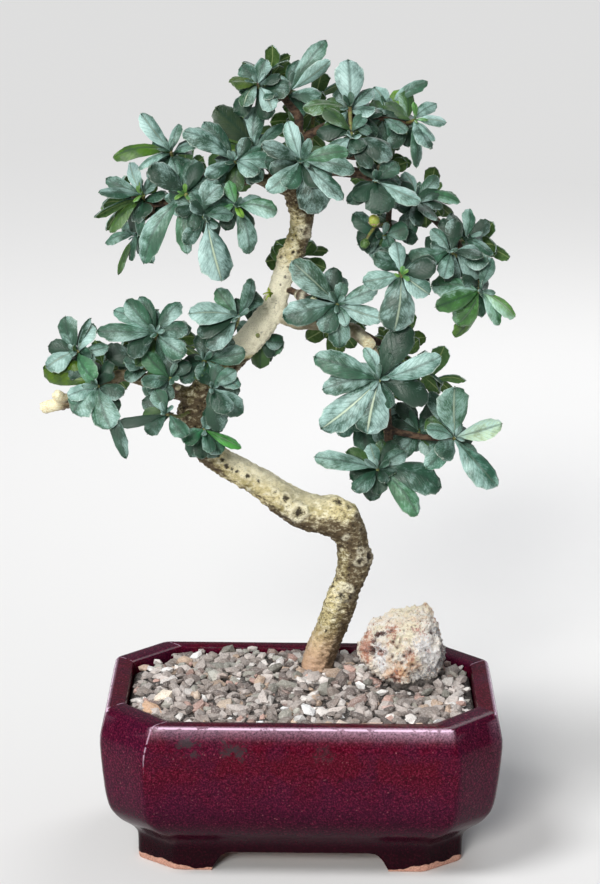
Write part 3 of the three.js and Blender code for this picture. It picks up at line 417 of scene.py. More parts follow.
def clay_finish():
    """Bare fired clay under the pot."""
    material, tree = new_material("bare_clay", Roughness=0.85)
    place = add_node(tree, "TexCoord", {}).outputs["Object"]
    grit = cloudy(tree, place, 1.5 * MM, 4, 0.7)
    feed(tree, Base_Color=blended(tree, grit, BARE_CLAY, CLAY_SHADE), Normal=relief(tree, grit, 0.2 * MM))
    return material


def paint_glaze_break_and_sheen(piece):
    """Marks where the glaze runs thin, along the upright ridges and the rim, and a pale band below the rim
    that is part glaze break and part painted highlight.
    """
    wear = piece.data.attributes.new("glaze_wear_and_sheen", "FLOAT_COLOR", "POINT")
    for vertex in piece.data.vertices:
        high = vertex.co.z
        across = abs(vertex.co.x - POT_MIDDLE.x)
        along = abs(vertex.co.y - POT_MIDDLE.y)
        inset = max(0, min(POT_HALF_LENGTH - across, POT_HALF_DEPTH - along))
        cut = FOOT_CORNER.lerp(RIM_CORNER, min(max(high / POT_HEIGHT, 0), 1))
        level = min(inset, 12 * MM)
        long_corner = Vector((POT_HALF_LENGTH - level - cut.x, POT_HALF_DEPTH - level))
        short_corner = Vector((POT_HALF_LENGTH - level, POT_HALF_DEPTH - level - cut.y))
        here = Vector((across, along))
        to_ridge = min((here - corner).length for corner in (long_corner, short_corner))
        ridge = math.exp(-((to_ridge / RIDGE_WIDTH) ** 2))
        right_front = vertex.co.x > POT_MIDDLE.x and vertex.co.y < POT_MIDDLE.y
        ridge *= min(max((high - 38 * MM) / (28 * MM), 0), 1) * (0.3 if right_front else 0.75)
        out_x = vertex.normal.x * (vertex.co.x - POT_MIDDLE.x)
        out_y = vertex.normal.y * (vertex.co.y - POT_MIDDLE.y)
        outside = out_x + out_y > 0
        on_cut = across > long_corner.x + 2 * MM and along > short_corner.y + 2 * MM
        rim = 0
        haze = 0
        if outside and inset < 4.3 * MM:
            rim = math.exp(-(((high - 80.3 * MM) / (0.55 * MM)) ** 2))
            # The pale band under the rim is partly a painted highlight, reaching furthest down at the right
            # front corner.
            to_right = min(max((vertex.co.x - POT_MIDDLE.x) / (60 * MM), 0), 1)
            reach = (7 + 9 * max(0, (across - 78 * MM) / (14 * MM)) * (to_right == 1)) * MM
            haze = min(max((high - 80 * MM) / reach + 1, 0), 1) ** 1.7
            haze *= (0.34 + 0.3 * to_right) * (0.3 if on_cut else 1)
            rim *= 0.6 if on_cut else 1
        near_corner = (across + along - FOOT_INWARD) / (8 * MM)
        clay_depth = 0.20 + 0.34 * min(max(near_corner, 0), 1)
        wear.data[vertex.index].color = (min(ridge + 1.4 * rim, 1), haze, 1 if on_cut else 0.1, clay_depth)


pot_mesh = bmesh.new()
pot_wall = smooth_path(POT_WALL, WALL_STEPS) + [Vector(point) for point in POT_LIP[1:] + POT_INSIDE]
raised_outline(pot_mesh, [(inset * MM, high * MM) for inset, high in pot_wall], pot_outline)
pot = new_piece("glazed_pot", pot_mesh, glaze_finish(), clay_finish())
cutters = [
    recess_cutter(),
    arch_cutter(FRONT_ARCH_HALF, 4 * POT_HALF_DEPTH, 0),
    arch_cutter(SIDE_ARCH_HALF, 4 * POT_HALF_LENGTH, math.pi / 2),
    drain_cutter(-DRAIN_HOLE_X),
    drain_cutter(DRAIN_HOLE_X),
]
for cutter in cutters:
    cut_out = pot.modifiers.new("cut_out", "BOOLEAN")
    cut_out.object = cutter
apply_modifiers(pot)
for cutter in cutters:
    bpy.data.objects.remove(cutter)
soft_edges = pot.modifiers.new("soft_edges", "BEVEL")
soft_edges.width = EDGE_BEVEL
soft_edges.segments = 2
soft_edges.limit_method = "ANGLE"
soft_edges.angle_limit = math.radians(40)
apply_modifiers(pot)
paint_glaze_break_and_sheen(pot)
for face in pot.data.polygons:
    face.use_smooth = True
    out = face.center - POT_MIDDLE
    inside_x = abs(out.x) < POT_HALF_LENGTH - FOOT_INSIDE + MM
    inside_y = abs(out.y) < POT_HALF_DEPTH - FOOT_INSIDE + MM
    if out.z < 19 * MM and inside_x and inside_y:
        face.material_index = CLAY_SLOT
pot.data.set_sharp_from_angle(angle=math.radians(SHARP_FROM))
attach(pot, "root")
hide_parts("pot")

# Soil. Dark compost, pressed by hand into the pot round the roots. It fills the pot under the gravel
# and holds the root end of the trunk.
COMPOST_DARK = (0.012, 0.008, 0.006, 1)
COMPOST_LIGHT = (0.06, 0.042, 0.03, 1)


def compost_finish():
    """Crumbly dark compost with lighter bits of bark in it."""
    material, tree = new_material("compost", Roughness=0.95)
    place = add_node(tree, "TexCoord", {}).outputs["Object"]
    crumb = cloudy(tree, place, 3 * MM, 5, 0.7)
    feed(tree, Base_Color=blended(tree, graded(tree, crumb, 0.4, 0.7), COMPOST_DARK, COMPOST_LIGHT))
    feed(tree, Normal=relief(tree, crumb, 0.8 * MM))
    return material


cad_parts["soil"].data.materials.clear()
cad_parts["soil"].data.materials.append(compost_finish())

# Gravel. A dressing of small broken stones, two deep, poured by hand over the soil and heaped a
# little round the trunk and towards the back. Grey and taupe for the most part, with some white, tan
# and pink ones.
GRAVEL_SEED = 31
GRAVEL_BED_WALL = [(35, 73), (14.5, 73), (13.4, 74.4), (14.5, 75.4)]
GRAVEL_EDGE = 77.0 * MM
GRAVEL_MOUND = 4.2 * MM
GRAVEL_BACK_RISE = 2.2 * MM
BED_SINK = 1.4 * MM
BED_INSETS = (18, 24, 30, 36, 42, 48, 54, 60)
STONE_PITCH = 6.1 * MM
STONE_JITTER = 2.5 * MM
STONE_CLEAR_OF_WALL = 12.6 * MM
# Each layer of stones: how far under the top it lies, and how wide its stones are.
STONE_LAYERS = [(2.2, (5.5, 8.5)), (0.3, (5.0, 8.5))]
STONE_SIZES = (0.6, 0.8, 1, 1, 1, 1.15, 1.35)
GRAVEL_KINDS = [
    ((0.300, 0.255, 0.230), 22), ((0.400, 0.350, 0.325), 24), ((0.530, 0.475, 0.445), 22),
    ((0.170, 0.140, 0.128), 16), ((0.500, 0.370, 0.280), 7), ((0.540, 0.350, 0.300), 7),
    ((0.690, 0.650, 0.620), 10), ((0.880, 0.860, 0.840), 3), ((0.300, 0.290, 0.255), 10),
    ((0.430, 0.420, 0.375), 6), ((0.250, 0.180, 0.160), 6),
]
# Stones that stand out in the photograph: where each lies from the middle of the pot, how wide it is
# and its tone.
MARKED_STONES = [
    ((-70.7, -20.2), 12, (0.78, 0.68, 0.56)), ((-75.6, -33.9), 11, (0.66, 0.42, 0.27)),
    ((3.5, -39.4), 10, (0.90, 0.88, 0.86)), ((-1.2, -50.5), 8, (0.90, 0.88, 0.86)),
    ((68.2, -47.6), 6.5, (0.92, 0.90, 0.88)), ((-38.6, -32.7), 9, (0.62, 0.50, 0.40)),
    ((-53.3, -18.8), 7, (0.62, 0.50, 0.40)), ((10.9, 1.6), 7, (0.80, 0.74, 0.70)),
    ((-11.5, 29.4), 8, (0.66, 0.64, 0.63)), ((-26.5, 59.0), 6, (0.60, 0.57, 0.55)),
    ((43.1, -31.8), 7, (0.66, 0.48, 0.43)), ((81, -21.2), 6, (0.66, 0.42, 0.36)),
    ((84, -32.2), 5, (0.90, 0.88, 0.86)), ((-41.3, 9.5), 8, (0.44, 0.36, 0.32)),
    ((85, -0.9), 5, (0.78, 0.74, 0.70)), ((22, -58), 8, (0.70, 0.58, 0.50)),
    ((36, -56), 9, (0.62, 0.46, 0.38)), ((-20, -57), 7, (0.86, 0.84, 0.82)),
]
# The bed under the stones is painted near black: painted shade in the gaps between them.
BED_GAP_SHADE = (0.035, 0.029, 0.026)
# How long, how broad and how thick a stone may be, as a share of its width.
STONE_PROPORTIONS = [(0.95, 1.45), (0.65, 1.0), (0.4, 0.75)]
STONE_PALE = (0.88, 0.84, 0.80, 1)
STONE_DARK = (0.07, 0.055, 0.05, 1)
STONE_WARM = (0.50, 0.38, 0.32, 1)


def mound_height(place):
    """How high the top of the dressing is here."""
    across = (place.x - POT_MIDDLE.x) / POT_HALF_LENGTH
    along = (place.y - POT_MIDDLE.y) / POT_HALF_DEPTH
    heap = GRAVEL_MOUND * max(0, 1 - across * across - along * along)
    return GRAVEL_EDGE + heap + GRAVEL_BACK_RISE * along


def mound_outline(inset, height):
    """The pot's outline at one level, or raised to the top of the dressing where the level is 0."""
    points = pot_outline(inset, height or 76 * MM)
    if not height:
        for point in points:
            point.z = mound_height(point) - BED_SINK
    return points


def broken_stone(mesh, place, width, tone, draw):
    """One small broken stone, flattened and turned at random."""
    grown = bmesh.ops.create_icosphere(mesh, subdivisions=1, radius=0.5)["verts"]
    for corner in grown:
        corner.co *= draw.uniform(0.72, 1.15)
    size = Vector([width * draw.uniform(least, most) for least, most in STONE_PROPORTIONS])
    tip = Matrix.Rotation(draw.gauss(0, 0.45), 4, "X") @ Matrix.Rotation(draw.gauss(0, 0.45), 4, "Y")
    spun = Matrix.Rotation(draw.uniform(0, 2 * math.pi), 4, "Z") @ tip
    placed = Matrix.Translation(place) @ spun @ Matrix.Diagonal(size).to_4x4()
    bmesh.ops.transform(mesh, matrix=placed, verts=grown)
    shade = draw.uniform(0.7, 1.3)
    shaded = [min(part * shade, 0.95) for part in tone]
    for corner in grown:
        corner[mesh.verts.layers.float_color["stone_tone"]] = (*shaded, 1)


def new_stones():
    """A mesh for a few stones, which is quick to add to."""
    stones = bmesh.new()
    stones.verts.layers.float_color.new("stone_tone")
    return stones


def join_stones(whole, stones):
    """Adds a few stones to the whole dressing."""
    data = bpy.data.meshes.new("stones")
    stones.to_mesh(data)
    stones.free()
    whole.from_mesh(data)
    bpy.data.meshes.remove(data)


def gravel_finish():
    """Broken stone: each its own tone, finely grained, some with a pale face."""
    material, tree = new_material("broken_stone", Roughness=0.8, Specular_IOR_Level=0.35)
    place = add_node(tree, "TexCoord", {}).outputs["Object"]
    tone, _, _, _, _ = painted(tree, "stone_tone")
    grain = cloudy(tree, place, 0.8 * MM, 4, 0.7)
    band = cloudy(tree, place, 5 * MM, 2, 0.5)
    light = blended(tree, 0.5, tone, STONE_PALE)
    dark = blended(tree, 0.6, tone, STONE_DARK)
    body = blended(tree, graded(tree, grain, 0.52, 0.68, 0, 0.8), tone, light)
    body = blended(tree, graded(tree, grain, 0.46, 0.32, 0, 0.8), body, dark)
    body = blended(tree, graded(tree, band, 0.55, 0.75, 0, 0.3), body, STONE_WARM)
    feed(tree, Base_Color=body, Normal=relief(tree, grain, 0.4 * MM))
    return material


def packed_surface(node):
    """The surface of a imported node, to measure from."""
    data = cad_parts[node].data
    corners = [vertex.co for vertex in data.vertices]
    return BVHTree.FromPolygons(corners, [face.vertices for face in data.polygons])


def rests_here(place, width):
    """Whether a stone this wide lies inside the pot's wall and clear of the trunk and the rock."""
    inner = width / 2 + 0.2 * MM
    past_x = abs(place.x - POT_MIDDLE.x) - reach_x
    past_y = abs(place.y - POT_MIDDLE.y) - reach_y
    if past_x > -inner or past_y > -inner:
        return False
    past_cut = (past_x + RIM_CORNER.x) / RIM_CORNER.x + (past_y + RIM_CORNER.y) / RIM_CORNER.y
    if min(past_x + RIM_CORNER.x, past_y + RIM_CORNER.y) > 0 and past_cut > 1 - inner / (17 * MM):
        return False
    nearest = min((body.find_nearest(place)[3] or 1) for body in (trunk_body, rock_body))
    return nearest > width * 0.35


gravel_mesh = bmesh.new()
gravel_mesh.verts.layers.float_color.new("stone_tone")
bed_levels = [(inset * MM, high * MM) for inset, high in GRAVEL_BED_WALL]
bed_levels += [(inset * MM, 0) for inset in BED_INSETS]
raised_outline(gravel_mesh, bed_levels, mound_outline)
for corner in gravel_mesh.verts:
    corner[gravel_mesh.verts.layers.float_color["stone_tone"]] = (*BED_GAP_SHADE, 1)

rock_low, rock_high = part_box("rock")
trunk_body = packed_surface("trunk")
rock_body = packed_surface("rock")
draw = random.Random(GRAVEL_SEED)
tones = [tone for tone, _ in GRAVEL_KINDS]
shares = [share for _, share in GRAVEL_KINDS]
reach_x = POT_HALF_LENGTH - STONE_CLEAR_OF_WALL
reach_y = POT_HALF_DEPTH - STONE_CLEAR_OF_WALL
rows = int(reach_y * 2 / STONE_PITCH)
columns = int(reach_x * 2 / STONE_PITCH)
for layer, (sink, widths) in enumerate(STONE_LAYERS):
    for row in range(rows + 1):
        stones = new_stones()
        for column in range(columns + 1):
            step = column + 0.5 * (row % 2) + 0.3 * layer
            x = -reach_x + step * STONE_PITCH + draw.uniform(-1, 1) * STONE_JITTER
            y = -reach_y + (row + 0.5 * layer) * STONE_PITCH + draw.uniform(-1, 1) * STONE_JITTER
            width = draw.uniform(*widths) * MM * draw.choice(STONE_SIZES)
            tone = draw.choices(tones, shares)[0]
            place = POT_MIDDLE + Vector((x, y, 0))
            place.z = mound_height(place) - sink * MM + draw.uniform(-0.6, 0.8) * MM
            if rests_here(place, width):
                broken_stone(stones, place, width, tone, draw)
        join_stones(gravel_mesh, stones)
stones = new_stones()
for (x, y), width, tone in MARKED_STONES:
    place = POT_MIDDLE + Vector((x * MM, y * MM, 0))
    place.z = mound_height(place) + 0.12 * width * MM
    broken_stone(stones, place, width * MM, tone, draw)
join_stones(gravel_mesh, stones)
gravel = new_piece("gravel_dressing", gravel_mesh, gravel_finish())
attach(gravel, "root")
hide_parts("gravel")

# Rock. One pale, pitted, rust-stained stone, found as it is and set down into the gravel beside the
# trunk. Cream and yellow on top, white and crystalline to the right, rusty along its left edge.
ROCK_VOXEL = 0.42 * MM
ROCK_SMOOTHING = 3
ROCK_SWELL = 0.6
STAIN_SPREAD = 1.35 * MM
ROCK_CREAM = (0.930, 0.770, 0.590, 1)
ROCK_PALE = (0.990, 0.940, 0.860, 1)
ROCK_YELLOW = (0.960, 0.880, 0.640, 1)
ROCK_WHITE = (0.960, 0.955, 0.960, 1)
ROCK_PINK = (0.860, 0.480, 0.390, 1)
ROCK_GREY = (0.250, 0.265, 0.290, 1)
ROCK_RUST = (0.480, 0.150, 0.070, 1)
ROCK_ORANGE = (0.880, 0.520, 0.280, 1)
ROCK_CRACK = (0.045, 0.010, 0.010, 1)
ROCK_UNDER_SHADE = (0.120, 0.105, 0.100, 1)
ROCK_CREVICE = (0.140, 0.070, 0.050, 1)
# Where the stains lie on the stone's shell, out from its middle, how far they spread and how strong
# they are.
RUST_PATCHES = [
    ((-19, -9, 5), 3.6, 0.8), ((-19, -9, 0), 3.4, 0.8), ((-18, -3, 8), 5, 0.7), ((-7, -15, 21), 3.5, 0.7),
    ((-3, -17, -9), 3.2, 0.9), ((3, -21, 4), 2.6, 0.8), ((8, -19, 16), 2.4, 0.5), ((-9, -19, 10), 3, 0.45),
    ((-12, -16, 3), 1.8, 0.8), ((14, 12, 12), 8, 0.7), ((-14, 14, -4), 8, 0.8), ((2, 19, 0), 7, 0.6),
]
CRACK_PATCHES = [
    ((-11, -13, 18), 1.5, 0.9), ((-13, -14, 16), 1.6, 1.0), ((-15, -13, 13), 1.7, 1.0),
    ((-16, -11, 8), 1.4, 0.8), ((-9, -12, 20), 1.2, 0.7), ((-17, -13, 3), 1.8, 1.0),
    ((-12, -17, 5), 1.2, 0.8), ((-4, -17, -10), 2, 0.6), ((6, 17, 8), 3, 0.8),
]
GREY_PATCHES = [
    ((15, -9, 13), 3.5, 0.9), ((20, -5, -1), 5, 1.0), ((18, -8, 5), 3.5, 0.7), ((17, -11, -7), 4, 0.6),
    ((12, -15, -10), 4.5, 0.6), ((19, 6, -6), 9, 0.8), ((-16, 8, -14), 7, 0.7),
]
WHITE_PATCHES = [
    ((-14, -17, 4), 3.6, 1.0), ((-13, -16, 0), 3.4, 1.0), ((-11, -16, -3), 3, 0.9),
    ((11, -16, 8), 4.5, 0.9), ((14, -13, 2), 5, 0.9), ((9, -17, 13), 3, 0.7), ((17, -11, -6), 5, 0.8),
    ((10, -15, -10), 4, 0.6), ((-2, 18, 10), 6, 0.8),
]
YELLOW_PATCHES = [
    ((3, -17, 17), 6, 0.9), ((-3, -20, 14), 5, 0.9), ((-3, -19, 6), 5, 0.7), ((7, -20, 0), 3, 0.8),
    ((-15, -8, 19), 4, 0.8), ((4, 8, 20), 10, 0.8),
]
ORANGE_PATCHES = [
    ((-1, -18, -6), 4, 0.9), ((-7, -18, -6), 3.5, 0.8), ((4, -20, -2), 3, 0.8), ((-9, -18, 0), 3, 0.6),
    ((0, -21, 3), 2.6, 0.5), ((9, -18, -4), 2.5, 0.7), ((6, -7, 24), 3, 0.35), ((-6, 16, 2), 6, 0.5),
]
# Deep pits: where they are, how wide and how deep.
ROCK_PITS = [
    ((-6, -20, 11), 0.9, 1.2), ((4, -21, 6), 1.2, 1.8), ((0, -21, 0), 1.1, 1.6), ((6, -20, -3), 1.2, 1.8),
    ((4, -18, -7), 0.9, 1.3), ((-5, -17, -8), 0.9, 1.2), ((10, -17, -8), 0.9, 1.4),
    ((15, -11, 13), 1.3, 1.6), ((18, -9, 2), 1.1, 1.2), ((0, -21, 4), 1.0, 1.6), ((-6, -20, 3), 1.1, 1.6),
    ((2, -20, -5), 0.9, 1.2), ((-2, -20, 7), 0.8, 1.1), ((-15, -12, 12), 1.5, 1.4),
    ((12, -15, 5), 0.7, 0.8),
]


def merged_copy(node, name, *finishes):
    """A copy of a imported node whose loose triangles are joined."""
    mesh = bmesh.new()
    mesh.from_mesh(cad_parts[node].data)
    bmesh.ops.remove_doubles(mesh, verts=mesh.verts, dist=0.01 * MM)
    return new_piece(name, mesh, *finishes)


def remeshed(piece, voxel):
    """Gives the piece an even fine mesh."""
    even = piece.modifiers.new("even_mesh", "REMESH")
    even.mode = "VOXEL"
    even.voxel_size = voxel
    apply_modifiers(piece)


def shade_smooth(piece):
    """Shades the faces of the piece as parts of one smooth surface."""
    piece.data.polygons.foreach_set("use_smooth", [True] * len(piece.data.polygons))


def smoothed(mesh, times):
    """Evens out the mesh so many times."""
    for _ in range(times):
        bmesh.ops.smooth_vert(
            mesh, verts=mesh.verts, factor=0.5, use_axis_x=True, use_axis_y=True, use_axis_z=True,
        )
    mesh.normal_update()


def on_the_shell(patches):
    """The same patches, with their middles moved onto the stone's surface."""
    middles = [rock_skin.find_nearest(rock_middle + Vector(patch[0]) * MM)[0] for patch in patches]
    return [(middle, *patch[1:]) for middle, patch in zip(middles, patches)]


def patch_share(place, patches):
    """How much of a stain lies here: the strongest of its patches."""
    share = 0
    for middle, spread, strength in patches:
        reach = (place - middle).length / (spread * STAIN_SPREAD)
        if reach < 2.5:
            share = max(share, strength * math.exp(-reach * reach))
    return share


def rock_finish():
    """Cream stone with yellow, rust, white and blue-grey patches, dark pits and a grainy surface, with
    painted shade in its pits and hollows and over its lower part.
    """
    material, tree = new_material("stained_stone", Roughness=0.8, Specular_IOR_Level=0.3)
    place = add_node(tree, "TexCoord", {}).outputs["Object"]
    _, rust, grey, white, pit = painted(tree, "stone_stain_and_shade")
    _, yellow, orange, crack, under = painted(tree, "stone_tint_and_shade")
    broad = cloudy(tree, place, 6 * MM, 4, 0.65)
    ragged = cloudy(tree, place, 2.6 * MM, 5, 0.75)
    grain = cloudy(tree, place, 1.0 * MM, 5, 0.75)
    rough_edge = graded(tree, ragged, 0.3, 0.7, -0.6, 0.6)
    edge = worked(tree, "ADD", rough_edge, graded(tree, grain, 0.3, 0.7, -0.25, 0.25))
    body = blended(tree, graded(tree, broad, 0.35, 0.54), ROCK_CREAM, ROCK_PALE)
    for share, colour, most in (
        (yellow, ROCK_YELLOW, 0.75), (orange, ROCK_ORANGE, 0.8), (white, ROCK_WHITE, 0.95),
        (grey, ROCK_GREY, 0.85), (rust, ROCK_RUST, 0.85), (crack, ROCK_CRACK, 0.95),
    ):
        covered = graded(tree, worked(tree, "ADD", share, edge), 0.30, 0.66, 0, most)
        body = blended(tree, covered, body, colour)
    sparkle = worked(tree, "MULTIPLY", graded(tree, grey, 0.1, 0.4), graded(tree, grain, 0.52, 0.58))
    body = blended(tree, sparkle, body, ROCK_WHITE)
    blush_field = graded(tree, broad, 0.44, 0.56, 0, 0.75)
    blush = worked(tree, "MULTIPLY", graded(tree, ragged, 0.54, 0.64), blush_field)
    body = blended(tree, blush, body, ROCK_PINK)
    dots = worked(tree, "MULTIPLY", graded(tree, ragged, 0.42, 0.34), graded(tree, grain, 0.52, 0.42))
    body = blended(tree, worked(tree, "MULTIPLY", dots, 0.8), body, ROCK_RUST)
    body = blended(tree, graded(tree, grain, 0.42, 0.32, 0, 0.8), body, ROCK_CREVICE)
    body = blended(tree, graded(tree, grain, 0.54, 0.66, 0, 0.8), body, ROCK_PALE)
    # Painted shade in the pits, the hollows and where the surface sinks.
    body = blended(tree, pit, body, ROCK_CRACK)
    # Painted shade over the lower part of the stone.
    shaded_below = graded(tree, worked(tree, "ADD", under, edge), 0.3, 0.6, 0, 0.92)
    body = blended(tree, shaded_below, body, ROCK_UNDER_SHADE)
    raised = worked(tree, "ADD", worked(tree, "MULTIPLY", ragged, 1.2), grain)
    feed(tree, Base_Color=body, Normal=relief(tree, raised, 1.3 * MM))
    return material


rock = merged_copy("rock", "stained_rock", rock_finish())
remeshed(rock, ROCK_VOXEL)
rock_middle = (rock_low + rock_high) / 2
rock_mesh = bmesh.new()
rock_mesh.from_mesh(rock.data)
smoothed(rock_mesh, ROCK_SMOOTHING)
rock_skin = BVHTree.FromBMesh(rock_mesh)
rock_pits = [(middle, width * MM, depth * MM) for middle, width, depth in on_the_shell(ROCK_PITS)]
rust_patches = on_the_shell(RUST_PATCHES)
grey_patches = on_the_shell(GREY_PATCHES)
white_patches = on_the_shell(WHITE_PATCHES)
yellow_patches = on_the_shell(YELLOW_PATCHES)
orange_patches = on_the_shell(ORANGE_PATCHES)
crack_patches = on_the_shell(CRACK_PATCHES)
stain_and_shade_layer = rock_mesh.verts.layers.float_color.new("stone_stain_and_shade")
tint_and_shade_layer = rock_mesh.verts.layers.float_color.new("stone_tint_and_shade")
for corner in rock_mesh.verts:
    lumps = noise.fractal(corner.co / (6 * MM), 1.0, 2.1, 5)
    crags = noise.ridged_multi_fractal(corner.co / (8 * MM), 0.9, 2.2, 5, 0.9, 2.0)
    facets = noise.voronoi(corner.co / (5.5 * MM))[0]
    cell = noise.voronoi(corner.co / (2.6 * MM))[0][0]
    hollow = max(0, 1 - cell / 0.36) * (noise.noise(corner.co / (7 * MM)) > 0.0)
    sunk = 0
    dark = 0
    for middle, width, depth in rock_pits:
        near = (corner.co - middle).length / width
        if near < 3:
            sunk = max(sunk, depth * math.exp(-near * near))
            dark = max(dark, math.exp(-((near / 0.9) ** 2)))
    crack = patch_share(corner.co, crack_patches)
    chips = noise.voronoi(corner.co / (2.3 * MM))[0]
    scurf = noise.fractal(corner.co / (1.9 * MM), 0.8, 2.1, 4)
    lift = 1.3 * lumps + 0.7 * (crags - 1) + 1.3 * (facets[1] - facets[0] - 0.3)
    lift += 0.7 * (chips[1] - chips[0] - 0.3) + 1.1 * scurf
    lift += ROCK_SWELL - 1.3 * hollow - 1.2 * crack
    # How far down the stone a point is, for the painted shade over its lower part.
    below = min(max((rock_middle.z - 10.5 * MM - corner.co.z) / (2.5 * MM), 0), 1)
    deep = min(max((-0.5 - lift) / 1.4, 0), 1)
    stains = [patch_share(corner.co, patches) for patches in (rust_patches, grey_patches, white_patches)]
    tints = [patch_share(corner.co, patches) for patches in (yellow_patches, orange_patches)]
    # The fourth channel is painted shade: dark in the pits, the hollows and where the surface sinks.
    corner[stain_and_shade_layer] = (*stains, min(1, max(0.8 * hollow ** 1.5, dark, 0.6 * deep)))
    corner[tint_and_shade_layer] = (*tints, crack, below)
    corner.co += corner.normal * (lift * MM - sunk)
rock_mesh.to_mesh(rock.data)
rock_mesh.free()
shade_smooth(rock)
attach(rock, "root")
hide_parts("rock")

# Trunk and branches. One piece of living wood, bent into an S by wire and pruning. The bark is thin
# and cream over olive, freckled with brown pores, crusted round its healed knots, and the sawn stubs
# are bare.
BARK_VOXEL = 0.7 * MM
BARK_SMOOTHING = 7
BARK_SWELL = 0.3 * MM
# How far round a knot's middle its rings reach, in widths of the widest knot.
KNOT_REACH = 2.4
# The side on which the bark is painted darker, as shade: down, to the right and a little to the front.
BARK_SHADE_SIDE = Vector((0.62, -0.30, -0.72))
BARK_CREAM = (0.740, 0.640, 0.350, 1)
BARK_WHITE = (0.980, 0.930, 0.720, 1)
BARK_OLIVE = (0.280, 0.235, 0.080, 1)
BARK_BROWN = (0.085, 0.055, 0.028, 1)
BARK_PORE = (0.022, 0.014, 0.009, 1)
BARK_ROSE = (0.640, 0.400, 0.270, 1)
TWIG_LIGHT = (0.150, 0.090, 0.055, 1)
TWIG_DARK = (0.036, 0.022, 0.015, 1)
CUT_WOOD = (0.950, 0.920, 0.660, 1)
CUT_GRAIN = (0.740, 0.590, 0.340, 1)
# Knots and pruning scars, from the middle of the pot: where each is, how wide, how far it stands out,
# how dark its eye is and how pale its ring is. Those that are sunk are old pores.
KNOTS = [
    ((-3.1, 10, 167.9), 4.3, 1.7, 1.0, 0.7), ((-7.9, 10, 178.3), 3.0, 0.8, 1.0, 0.4),
    ((-8.6, 10, 171.2), 1.6, 0.6, 0.0, 0.9), ((-40.3, 12, 196.7), 2.2, -0.8, 1.0, 0.1),
    ((-28, 12, 186.9), 2.1, 0.6, 1.0, 0.3), ((-22.5, 11, 184.7), 1.9, 0.5, 0.9, 0.2),
    ((-14.2, 11, 179.9), 2.0, 0.6, 0.7, 0.6), ((-23.5, 17, 191.7), 1.8, 0.6, 0.0, 0.7),
    ((-39.7, 12, 191.5), 2.6, -0.5, 1.0, 0.0), ((-36.8, 12, 190), 2.0, -0.4, 1.0, 0.0),
    ((-34.1, 12, 188.4), 1.9, -0.4, 0.9, 0.0), ((19.7, 17, 176), 3.4, 1.3, 0.9, 0.0),
    ((15.5, 17, 175), 1.8, 0.5, 0.7, 0.0), ((11, 17, 174.3), 1.6, 0.3, 0.6, 0.0),
    ((24.9, 18, 172.6), 3.0, 1.0, 0.8, 0.0), ((29.5, 17, 166.5), 1.8, 0.5, 0.6, 0.2),
    ((32.3, 18, 158.3), 2.2, 0.5, 0.7, 0.1), ((36.4, 18, 143.5), 3.4, 1.5, 1.0, 0.3),
    ((31.9, 12, 141.3), 2.8, 1.2, 0.8, 0.5), ((33.5, 14, 147.5), 1.8, 0.5, 0.5, 0.6),
    ((18.2, 10, 122.6), 2.4, -1.3, 1.0, 0.2), ((21.9, 10, 120.9), 2.0, -1.1, 0.9, 0.2),
    ((26.6, 13, 120.1), 2.1, -1.0, 1.0, 0.1), ((13.6, 13, 127.4), 2.2, 0.9, 0.0, 0.8),
    ((19.5, 10, 127.6), 1.9, 0.7, 0.0, 0.8), ((24.5, 11, 125.6), 1.9, 0.7, 0.0, 0.8),
    ((15.6, 11, 120.2), 1.6, 0.5, 0.3, 0.6), ((17.3, 10, 116.6), 1.2, -0.4, 0.8, 0.2),
    ((20.9, 11, 113.1), 1.2, -0.4, 0.7, 0.2), ((16.3, 10, 109.6), 1.2, -0.3, 0.7, 0.2),
    ((20, 11, 106), 1.1, -0.3, 0.6, 0.1), ((8.1, 10, 103.9), 1.4, -0.4, 1.0, 0.1),
    ((11.3, 9, 95.2), 1.1, 0.2, 0.5, 0.0), ((11.1, 10, 168.2), 1.3, -0.3, 0.6, 0.3),
    ((14.1, 10, 167.2), 1.1, -0.3, 0.6, 0.3), ((22.5, 11, 152.7), 1.5, 0.6, 0.0, 0.7),
    ((-2.5, 12, 313.6), 1.5, 0.3, 0.9, 0.2), ((2.7, 15, 312.5), 3.0, 1.1, 0.5, 0.5),
    ((-3.6, 12, 321.7), 1.4, 0.3, 0.7, 0.1), ((-9, 14, 309.2), 1.5, 0.3, 0.8, 0.1),
    ((-7, 12, 302.9), 1.5, 0.3, 1.0, 0.1), ((-15.9, 19, 300.8), 2.1, 1.0, 1.0, 0.0),
    ((-8.2, 12, 295.7), 1.6, 0.3, 0.9, 0.1), ((-9.4, 12, 289.2), 2.0, 0.4, 0.8, 0.1),
    ((-13.4, 12, 285.6), 1.4, 0.3, 0.7, 0.2), ((-15.6, 11, 276.8), 1.2, -0.3, 0.7, 0.3),
    ((-15.6, 11, 274.6), 1.2, -0.3, 0.7, 0.3), ((-20.7, 11, 260.6), 1.4, -0.2, 0.7, 0.0),
    ((-31.8, 12, 246.4), 1.4, 0.2, 0.8, 0.0), ((-18.8, 11, 267), 1.1, 0.2, 0.4, 0.2),
    ((-6, 11, 282), 2.4, 2.6, 0.0, 1.0), ((-12, 26, 300), 2.4, 0.8, 0.7, 0.2),
    ((30, 36, 150), 3.0, 1.0, 0.6, 0.4), ((-20, 33, 180), 3.0, 1.0, 0.6, 0.6),
    ((-22, 34, 268), 2.6, 0.9, 0.5, 0.3), ((16, 37, 112), 2.6, 0.9, 0.6, 0.2),
    ((2, 34, 172), 2.2, 0.8, 0.8, 0.3), ((24, 34, 124), 2.2, 0.8, 0.5, 0.5),
]
